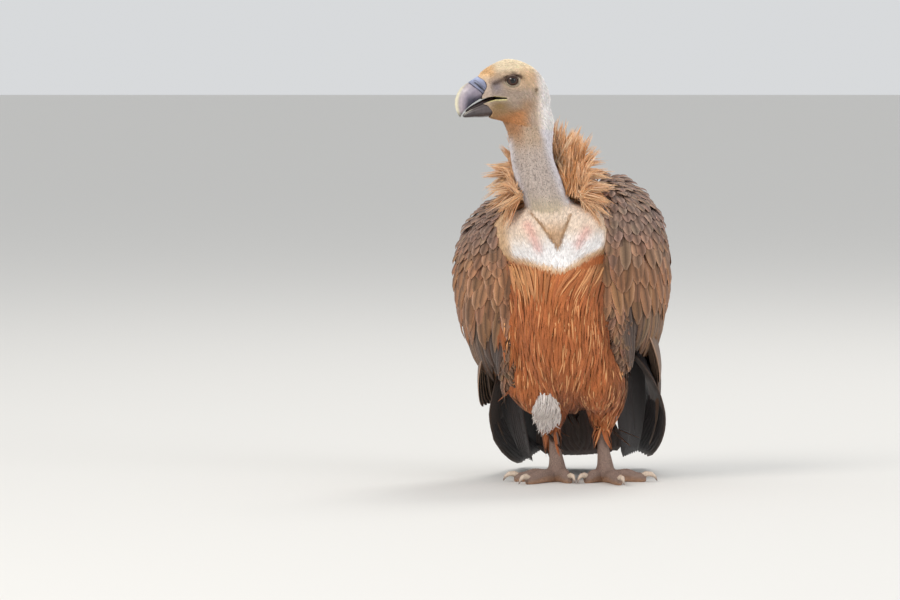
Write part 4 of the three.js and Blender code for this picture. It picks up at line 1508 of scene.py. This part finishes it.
for name, solids, gap, lie, slot in (
    ("breast_feathers", ["trunk"], 4.3, breast_lie, "rufous_plumage"),
    ("back_feathers", ["trunk"], 7.6, breast_lie, "rufous_plumage"),
    ("thigh_feathers", ["thigh_right", "thigh_left"], 4.6, thigh_lie, "rufous_plumage"),
):
    here = {
        "breast_feathers": lambda co: ~on_crop(co) & on_front(co),
        "back_feathers": lambda co: ~on_front(co),
        "thigh_feathers": None,
    }[name]
    roots, ways, owners, gaps = scattered(solids, gap * MM, keep=here, reach=0.016)
    if name == "breast_feathers":  # none at the sides, where the wings lie against the body
        shown = np.abs(ways[:, 0]) < 0.86
        roots, ways, owners, gaps = roots[shown], ways[shown], owners[shown], gaps[shown]
    lengths = 50 + 22 * chance.random(len(roots))
    if name == "thigh_feathers":
        lengths = thigh_lengths(roots) * (0.85 + 0.35 * chance.random(len(roots)))
    line, up = combed(roots, ways, lengths * MM, lie, 4, body_rise, stray=0.1)
    made = set_out(
        name, body_vane, line, up, 0.6 * gaps, LANCE, BODY_FINISH,
        varied(colours_of(owners, roots, ways), 0.07), unwrapped(roots), thick=0.0003, camber=0.1,
        even=0.55,
    )
    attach(made, "root")

# %% [markdown]
# The inner side of the right leg shows a tuft of white down where its feathers part.

# %% White tuft on the leg
def on_tuft(co):
    at = floor_place(co)
    return (np.hypot((at[:, 0] + 29) / 21, (at[:, 2] - 130) / 29) < 1) & (at[:, 1] < 40)


TUFT_FINISH = feather_finish(
    "leg_down", paint(255, 248, 240), shaft_width=0.0, edge=0.06, middle=0.03, tip=0.08, barbs=2.0,
    barb_strength=0.02, roughness=0.95, fine=260,
)
roots, ways, owners, gaps = scattered(["thigh_right", "trunk"], 1.7 * MM, keep=on_tuft, reach=0.016)
lengths = (18 + 8 * chance.random(len(roots))) * MM
line, up = combed(roots, ways, lengths, thigh_lie, 4, lambda t: 0.006 + 0.0075 * t**0.7, stray=0.16)
tuft = set_out(
    "leg_tuft", soft, line, up, 0.7 * gaps, [0.8, 1, 0.9, 0.6, 0.08], TUFT_FINISH,
    varied(even_dye(INK["white_down"], roots), 0.03), unwrapped(roots), thick=0.0005,
    even=0.75,
)
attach(tuft, "root")

# %% [markdown]
# ## Wing coverts
# On the folded wing the small coverts at the shoulder lie like scales, each with a paler edge. Down the
# wing come a row of broader ones, a row of long great coverts, and under them the long outer vanes of the
# secondaries. The hand in front has a strip of small coverts of its own. Each row lies over the roots of
# the next, so it stands off further.

# %% Coverts
covert_vane = feather_tube(5, 5)
long_vane = feather_tube(5, 8)
COVERT = [0.5, 0.86, 1.0, 1.0, 0.8, 0.2]
LONG = [0.6, 0.92, 1.0, 1.0, 1.0, 0.96, 0.86, 0.62, 0.12]
COVERT_FINISH = feather_finish(
    "wing_covert", paint(84, 62, 50), shaft_width=0.045, edge=1.0, middle=0.4, tip=0.4, barbs=30.0,
    barb_strength=0.05, roughness=0.82, fine=420, edge_start=0.55,
)
GREAT_FINISH = feather_finish(
    "great_covert", paint(84, 62, 50), shaft_width=0.045, edge=1.0, middle=0.42, tip=0.3, barbs=60.0,
    barb_strength=0.05, roughness=0.8, fine=420, edge_start=0.62,
)
LONG_FINISH = feather_finish(
    "secondary_vane", paint(40, 30, 26), shaft_width=0.07, edge=1.5, middle=0.25, tip=0.5, barbs=90.0,
    barb_strength=0.06, roughness=0.74, fine=420, edge_start=0.66,
)
HAND_FINISH = feather_finish(
    "hand_covert", paint(70, 52, 40), shaft_width=0.06, edge=1.1, middle=0.45, tip=0.4, barbs=22.0,
    barb_strength=0.06, roughness=0.8, fine=420, edge_start=0.6,
)
# Name, the roots' heights on the wing, spacing, length, half width, heights at root and tip, pattern,
# profile and finish. The small coverts' sizes follow their spacing, which changes with height.
ROWS = (
    ("secondary_vanes", (300, 340), 11, 132, 8.4, (0.4, 4.4), long_vane, LONG, LONG_FINISH),
    ("great_coverts", (342, 384), 14, 84, 10.5, (1.0, 6.6), covert_vane, COVERT, GREAT_FINISH),
    ("median_coverts", (380, 428), 12.5, 58, 10.5, (1.4, 7.4), covert_vane, COVERT, COVERT_FINISH),
    ("small_coverts", (418, 540), None, None, None, (1.0, 8.0), covert_vane, COVERT, COVERT_FINISH),
)


def wing_height(co, side):
    """How high on its wing a point is, in millimetres, whatever the height that wing hangs at."""
    return body_place(co)[:, 2] - WING_SHIFT[side][2]


def small_spacing(side):
    return lambda co: np.interp(wing_height(co, side), [400, 440, 480, 530], [12.5, 10, 8.6, 7.6]) * MM


def row_colour(name, co):
    dye = wing_colour(co)
    if name == "secondary_vanes":
        inner = ease(156, 132, np.abs(body_place(co)[:, 0]))
        dye = blend(np.broadcast_to(INK["secondary"], dye.shape), INK["slate"], inner)
    return dye


for side in SIDES:
    for name, (low, high), spacing, length, half, (start, end), pattern, profile, look in ROWS:
        def in_row(co, low=low, high=high, side=side):
            height = wing_height(co, side)
            return (height > low) & (height < high)

        spacing = small_spacing(side) if spacing is None else spacing * MM
        roots, ways, owners, gaps = scattered([f"wing_coverts_{side}"], spacing, keep=in_row, reach=0.015)
        count = len(roots)
        lengths = 2.7 * gaps if length is None else length * MM * (0.92 + 0.16 * chance.random(count))
        halves = 0.86 * gaps if half is None else np.full(count, half * MM)
        line, up = combed(roots, ways, lengths, wing_lie, len(profile) - 1,
                          lambda t: (start + (end - start) * min(1, 1.3 * t)) * MM, stray=0.05)
        made = set_out(
            f"{name}_{side}", pattern, line, up, halves, profile, look,
            varied(row_colour(name, roots), 0.09), unwrapped(roots), thick=0.0006, camber=0.2,
        )
        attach(made, "root")
    roots, ways, owners, gaps = scattered([f"wing_hand_{side}"], 7.0 * MM, reach=0.012)
    line, up = combed(roots, ways, 2.6 * gaps, wing_lie, 5,
                      lambda t: 0.0004 + 0.0042 * min(1, 1.2 * t), stray=0.08)
    hand = set_out(
        f"hand_coverts_{side}", covert_vane, line, up, 0.8 * gaps, COVERT, HAND_FINISH,
        varied(blend(wing_colour(roots), INK["slate"], 0.5 + 0 * gaps), 0.12), unwrapped(roots),
        thick=0.0005, camber=0.22,
    )
    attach(hand, "root")

# %% [markdown]
# ## Flight feathers and tail
# The long quills are broad sheets with a raised shaft, the narrow vane in front and the wide one behind.
# Each runs along a bowed line from its root under the coverts to its tip. Ten primaries and fourteen
# secondaries fan behind each other on each wing, and twelve tail feathers spread between the legs. Seven
# inner quills a side fill the space between leg and fan, and six outer ones follow the fan's outer edge.

# %% Flight feathers
quill_sheet = feather_sheet(8, 16)
QUILL_BOW = {"right": -22, "left": 10}
WING_TIP_HEIGHT = 17


def quills(name, roots, bends, tips, faces, half_width, point, look, dye, lopsided):
    """Flight feathers along bowed lines in the body's own frame, each looking the way that faces says."""
    rows = 17
    t = np.linspace(0, 1, rows)[None, :, None]
    roots, bends, tips = (placed(BODY, values)[:, None] for values in (roots, bends, tips))
    line = (1 - t) ** 2 * roots + 2 * t * (1 - t) * bends + t * t * tips
    way = unit(np.gradient(line, axis=1))
    face = turned(BODY, faces)[:, None]
    beside = unit(np.cross(way, face))
    up = np.cross(beside, way)
    along = t[0, :, 0]
    swell = np.minimum(1, 0.4 + 2.2 * along) * np.minimum(1, np.sqrt((1.004 - along) / point))
    count = len(roots)
    patch = np.stack([(np.arange(count) + 0.5) / count, np.full(count, 0.5)], 1)
    made = set_out(
        name, quill_sheet, line, up, np.full(count, half_width), swell, look,
        varied(np.broadcast_to(dye, (count, 3)), 0.05), patch, thick=0.0011, camber=0.1,
        patch_size=(0.86 / count, 0.94), ragged=0.05, lopsided=lopsided,
    )
    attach(made, "root")
    return made


PRIMARY_FINISH = feather_finish(
    "primary", paint(16, 13, 14), shaft_width=0.035, edge=0.9, middle=0.1, tip=0.1, barbs=150.0,
    barb_strength=0.08, roughness=0.6, fine=700, edge_start=0.8,
)
SECONDARY_FINISH = feather_finish(
    "secondary", paint(38, 30, 28), shaft_width=0.035, edge=1.3, middle=0.1, tip=0.4, barbs=120.0,
    barb_strength=0.08, roughness=0.68, fine=600, edge_start=0.8,
)
TAIL_FINISH = feather_finish(
    "tail_feather", paint(28, 22, 20), shaft_width=0.04, edge=0.5, middle=0.1, tip=0.1, barbs=120.0,
    barb_strength=0.1, roughness=0.66, fine=600,
)
for side, sign in SIDES.items():
    shift = WING_SHIFT[side]
    bow = QUILL_BOW[side]
    back = np.linspace(0, 1, 14)
    zero = 0 * back
    secondaries = quills(
        f"secondaries_{side}_feathers",
        np.stack([sign * (134 - 24 * back), 10 + 110 * back, 292 + 46 * back], 1) + shift,
        np.stack([sign * (170 - 46 * back), 50 + 118 * back, 226 + 30 * back], 1) + shift,
        np.stack([sign * (158 - 68 * back), 92 + 148 * back, 160 + 22 * back], 1) + shift,
        np.stack([sign + zero, 0.5 * back, zero], 1), half_width=0.025, point=0.2, look=SECONDARY_FINISH,
        dye=paint(112, 90, 74), lopsided=0.2 * sign,
    )
    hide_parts(f"secondaries_{side}")
    back = np.linspace(0, 1, 10)
    zero = 0 * back
    low = WING_TIP_HEIGHT - shift[2]
    outer = ease(0.16, 0.0, back)[:, None]
    primaries = quills(
        f"primaries_{side}_feathers",
        np.stack([sign * 118 + zero, 4 + 30 * back, 216 + 26 * back], 1) + shift,
        np.stack([sign * (168 - 30 * back + bow), 116 + 70 * back, 118 + 62 * back], 1) + shift,
        np.stack([sign * (114 - 44 * back), 342 - 58 * back**2, low + 26 * back], 1) + shift,
        np.stack([sign + zero, 0.9 + zero, 0.1 + zero], 1), half_width=0.029, point=0.5,
        look=PRIMARY_FINISH, dye=paint(30, 24, 25) * (1 - outer) + paint(66, 52, 44) * outer,
        lopsided=0.2 * sign,
    )
    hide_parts(f"primaries_{side}")

# Those nearest the leg, seen from ahead between the leg and the fan, and those along the fan's outer edge.
for side, sign in SIDES.items():
    shift = WING_SHIFT[side]
    low = WING_TIP_HEIGHT - shift[2]
    back = np.linspace(0, 1, 7)
    zero = 0 * back
    inner_quills = quills(
        f"inner_quills_{side}", np.stack([sign * (96 + 18 * back), 6 + 18 * back, 236 + zero], 1) + shift,
        np.stack([sign * (104 + 26 * back), 52 + 24 * back, 140 + zero], 1) + shift,
        np.stack([sign * (84 + 20 * back), 170 + 60 * back, low + 12 + 4 * back], 1) + shift,
        np.stack([0.5 * sign + zero, -0.8 + zero, 0.3 + zero], 1), half_width=0.02, point=0.4,
        look=PRIMARY_FINISH, dye=paint(34, 27, 27), lopsided=0.0,
    )
    back = np.linspace(0, 1, 6)
    zero = 0 * back
    outer_quills = quills(
        f"outer_quills_{side}",
        np.stack([sign * (146 - 10 * back), 20 + 16 * back, 262 + zero], 1) + shift,
        np.stack([sign * (168 - 8 * back + QUILL_BOW[side]), 74 + 36 * back, 150 - 10 * back], 1) + shift,
        np.stack([sign * (126 - 6 * back), 250 + 60 * back, low + 30 - 12 * back], 1) + shift,
        np.stack([0.9 * sign + zero, -0.4 + zero, 0.2 + zero], 1), half_width=0.015, point=0.4,
        look=SECONDARY_FINISH, dye=paint(84, 66, 54), lopsided=0.0,
    )

out = np.linspace(-1, 1, 12)
zero = 0 * out
tail = quills(
    "tail_feathers", np.stack([24 * out, 104 + zero, 168 + zero], 1),
    np.stack([34 * out, 178 + zero, 116 + zero], 1),
    np.stack([60 * out, 318 - 12 * out**2, 24 + 6 * out**2], 1),
    np.stack([0.25 * out, 0.75 + zero, 1 + zero], 1), half_width=0.026, point=0.16, look=TAIL_FINISH,
    dye=paint(60, 44, 36), lopsided=0.0,
)
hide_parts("tail")

# %% [markdown]
# ## The ruff
# A young griffon's ruff is a collar of long, narrow, pointed feathers round the foot of the neck. They
# gather in locks that point from nearly straight down to straight up, and the locks of an inner ring
# stand up close to the neck.

# %% Ruff
COLLAR = np.array([(-84, -112, 500), (-92, -66, 530), (-80, -26, 556), (-38, -6, 572), (14, -22, 562),
                   (38, -60, 538), (36, -112, 502)], float)
# Millimetres from the collar to the tips: a row for each tip angle, with eight places along the collar.
TIP_REACH = np.array([
    [50, 60, 58, 54, 60, 66, 66, 58], [50, 60, 58, 54, 60, 66, 66, 58], [34, 50, 56, 58, 56, 50, 50, 42],
    [26, 32, 44, 58, 64, 52, 40, 30], [26, 32, 44, 58, 64, 52, 40, 30]], float)
TIP_ANGLES = np.radians([-72, -36, 0, 36, 72])
RUFF_COUNT = 3200
RUFF_LOCKS = 330
RUFF_INNER_LOCKS = 100
RUFF_ROWS = 6


def through(points, t):
    """Places on a smooth curve through the points, at shares t of its length."""
    last = len(points) - 1
    k = np.clip(np.floor(t * last).astype(int), 0, last - 1)
    f = (t * last - k)[:, None]
    a, b, c, d = (points[np.clip(k + i, 0, last)] for i in (-1, 0, 1, 2))
    slope_b, slope_c, fall = (c - a) / 2, (d - b) / 2, b - c
    cubic, square = 2 * fall + slope_b + slope_c, -3 * fall - 2 * slope_b - slope_c
    return (cubic * f + square) * f * f + slope_b * f + b


def ruff_lines(t, angle, fan, curl, fullness, inset):
    """Lines from the collar outward, each at share t along it, tilted up by its angle."""
    middle = through(COLLAR, t)
    ahead_way = unit(through(COLLAR, np.minimum(1, t + 0.02)) - through(COLLAR, np.maximum(0, t - 0.02)))
    outward = unit(np.stack([-ahead_way[:, 1], ahead_way[:, 0], 0 * t], 1))
    step_at = np.interp(angle, TIP_ANGLES, np.arange(5.0))
    level = np.clip(step_at.astype(int), 0, 3)
    by_t = np.stack([np.interp(t, np.linspace(0, 1, 8), row) for row in TIP_REACH])
    number = np.arange(len(t))
    reach = by_t[level, number] * (1 - (step_at - level)) + by_t[level + 1, number] * (step_at - level)
    reach = reach * fullness
    upward = np.array((0, 0, 1)) * np.sin(angle)[:, None]
    way = unit(outward * np.cos(angle)[:, None] + ahead_way * fan[:, None] + upward)
    across_way = unit(np.cross(way, ahead_way))
    start = middle - outward * inset[:, None] - way * 5
    share = np.linspace(0, 1, RUFF_ROWS)[None, :, None]
    line = start[:, None] + way[:, None] * share * (reach + 9)[:, None, None]
    line = line + across_way[:, None] * (curl * reach)[:, None, None] * share**2
    return line + np.array((0, 0, -1)) * share**2 * 5, across_way


def grouped(values, spread):
    """Each strand's value: its lock's own, and a little more or less."""
    return values[lock] + chance.normal(0, spread, RUFF_COUNT)


lock = chance.integers(0, RUFF_LOCKS, RUFF_COUNT)
inner_lock = np.arange(RUFF_LOCKS) < RUFF_INNER_LOCKS
lock_t = np.where(inner_lock, chance.uniform(0.45, 0.99, RUFF_LOCKS), chance.random(RUFF_LOCKS))
inner_angle = chance.uniform(70, 104, RUFF_LOCKS)
outer_angle = chance.uniform(-88, 96, RUFF_LOCKS)
lock_angle = np.radians(np.where(inner_lock, inner_angle, outer_angle))
lock_fan = chance.normal(0, 0.24, RUFF_LOCKS)
lock_curl = chance.normal(0, 0.14, RUFF_LOCKS)
lock_full = 0.74 + 0.42 * np.sqrt(chance.random(RUFF_LOCKS))
lock_inset = np.where(inner_lock, chance.uniform(8, 38, RUFF_LOCKS), 7)
t = np.clip(grouped(lock_t, 0.016), 0, 1)
angle = grouped(lock_angle, 0.1)
fullness = lock_full[lock] * (0.68 + 0.36 * chance.random(RUFF_COUNT))
fan = grouped(lock_fan, 0.08)
curl = grouped(lock_curl, 0.04)
loose, across_way = ruff_lines(t, angle, fan, curl, fullness, lock_inset[lock])
loose = loose + chance.normal(0, 2.6, (RUFF_COUNT, 1, 3))
tight, _ = ruff_lines(
    lock_t[lock], lock_angle[lock], lock_fan[lock], lock_curl[lock], fullness, lock_inset[lock])
pull = 0.7 * np.linspace(0, 1, RUFF_ROWS)[None, :, None]
line = loose * (1 - pull) + tight * pull
line = placed(FLOOR_SPACE, line.reshape(-1, 3)).reshape(line.shape)
up = np.broadcast_to(across_way[:, None], line.shape) + chance.normal(0, 0.35, (RUFF_COUNT, 1, 3))
course = unit(np.gradient(line, axis=1))
up = unit(up - course * (up * course).sum(-1, keepdims=True))
ruff_vane = feather_tube(5, RUFF_ROWS - 1)
RUFF_FINISH = feather_finish(
    "ruff_feather", paint(255, 236, 206), shaft_width=0.16, edge=0.22, middle=0.14, tip=0.25, barbs=20.0,
    barb_strength=0.05, roughness=0.9, fine=300, shaft_share=0.5,
)
# Some locks are a darker orange, most often on the inner ring close to the neck: the ruff's own tone,
# varied by lock, and painted shade deeper in the ruff.
lock_tone_and_shade = chance.random(RUFF_LOCKS) * np.where(inner_lock, 1.4, 0.8)
strand_tone_and_shade = np.clip(grouped(lock_tone_and_shade, 0.15), 0, 1)
ruff_dye = blend(np.broadcast_to(INK["ruff"], (RUFF_COUNT, 3)), paint(226, 164, 108), strand_tone_and_shade)
patch = np.stack([0.02 + 0.96 * t, 0.02 + 0.96 * (angle - angle.min()) / np.ptp(angle)], 1)
ruff = set_out(
    "ruff_feathers", ruff_vane, line, up, (1.1 + 0.8 * chance.random(RUFF_COUNT)) * MM,
    [0.7, 1.0, 0.92, 0.68, 0.36, 0.03], RUFF_FINISH, varied(ruff_dye, 0.06), patch, thick=0.0005,
    camber=0.2,
)
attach(ruff, "root")
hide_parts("ruff")

# %% [markdown]
# ## Size
# The finished model's own bounds are found, leaving out the floor and whatever is hidden.

# %% Size and the end
low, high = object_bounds()
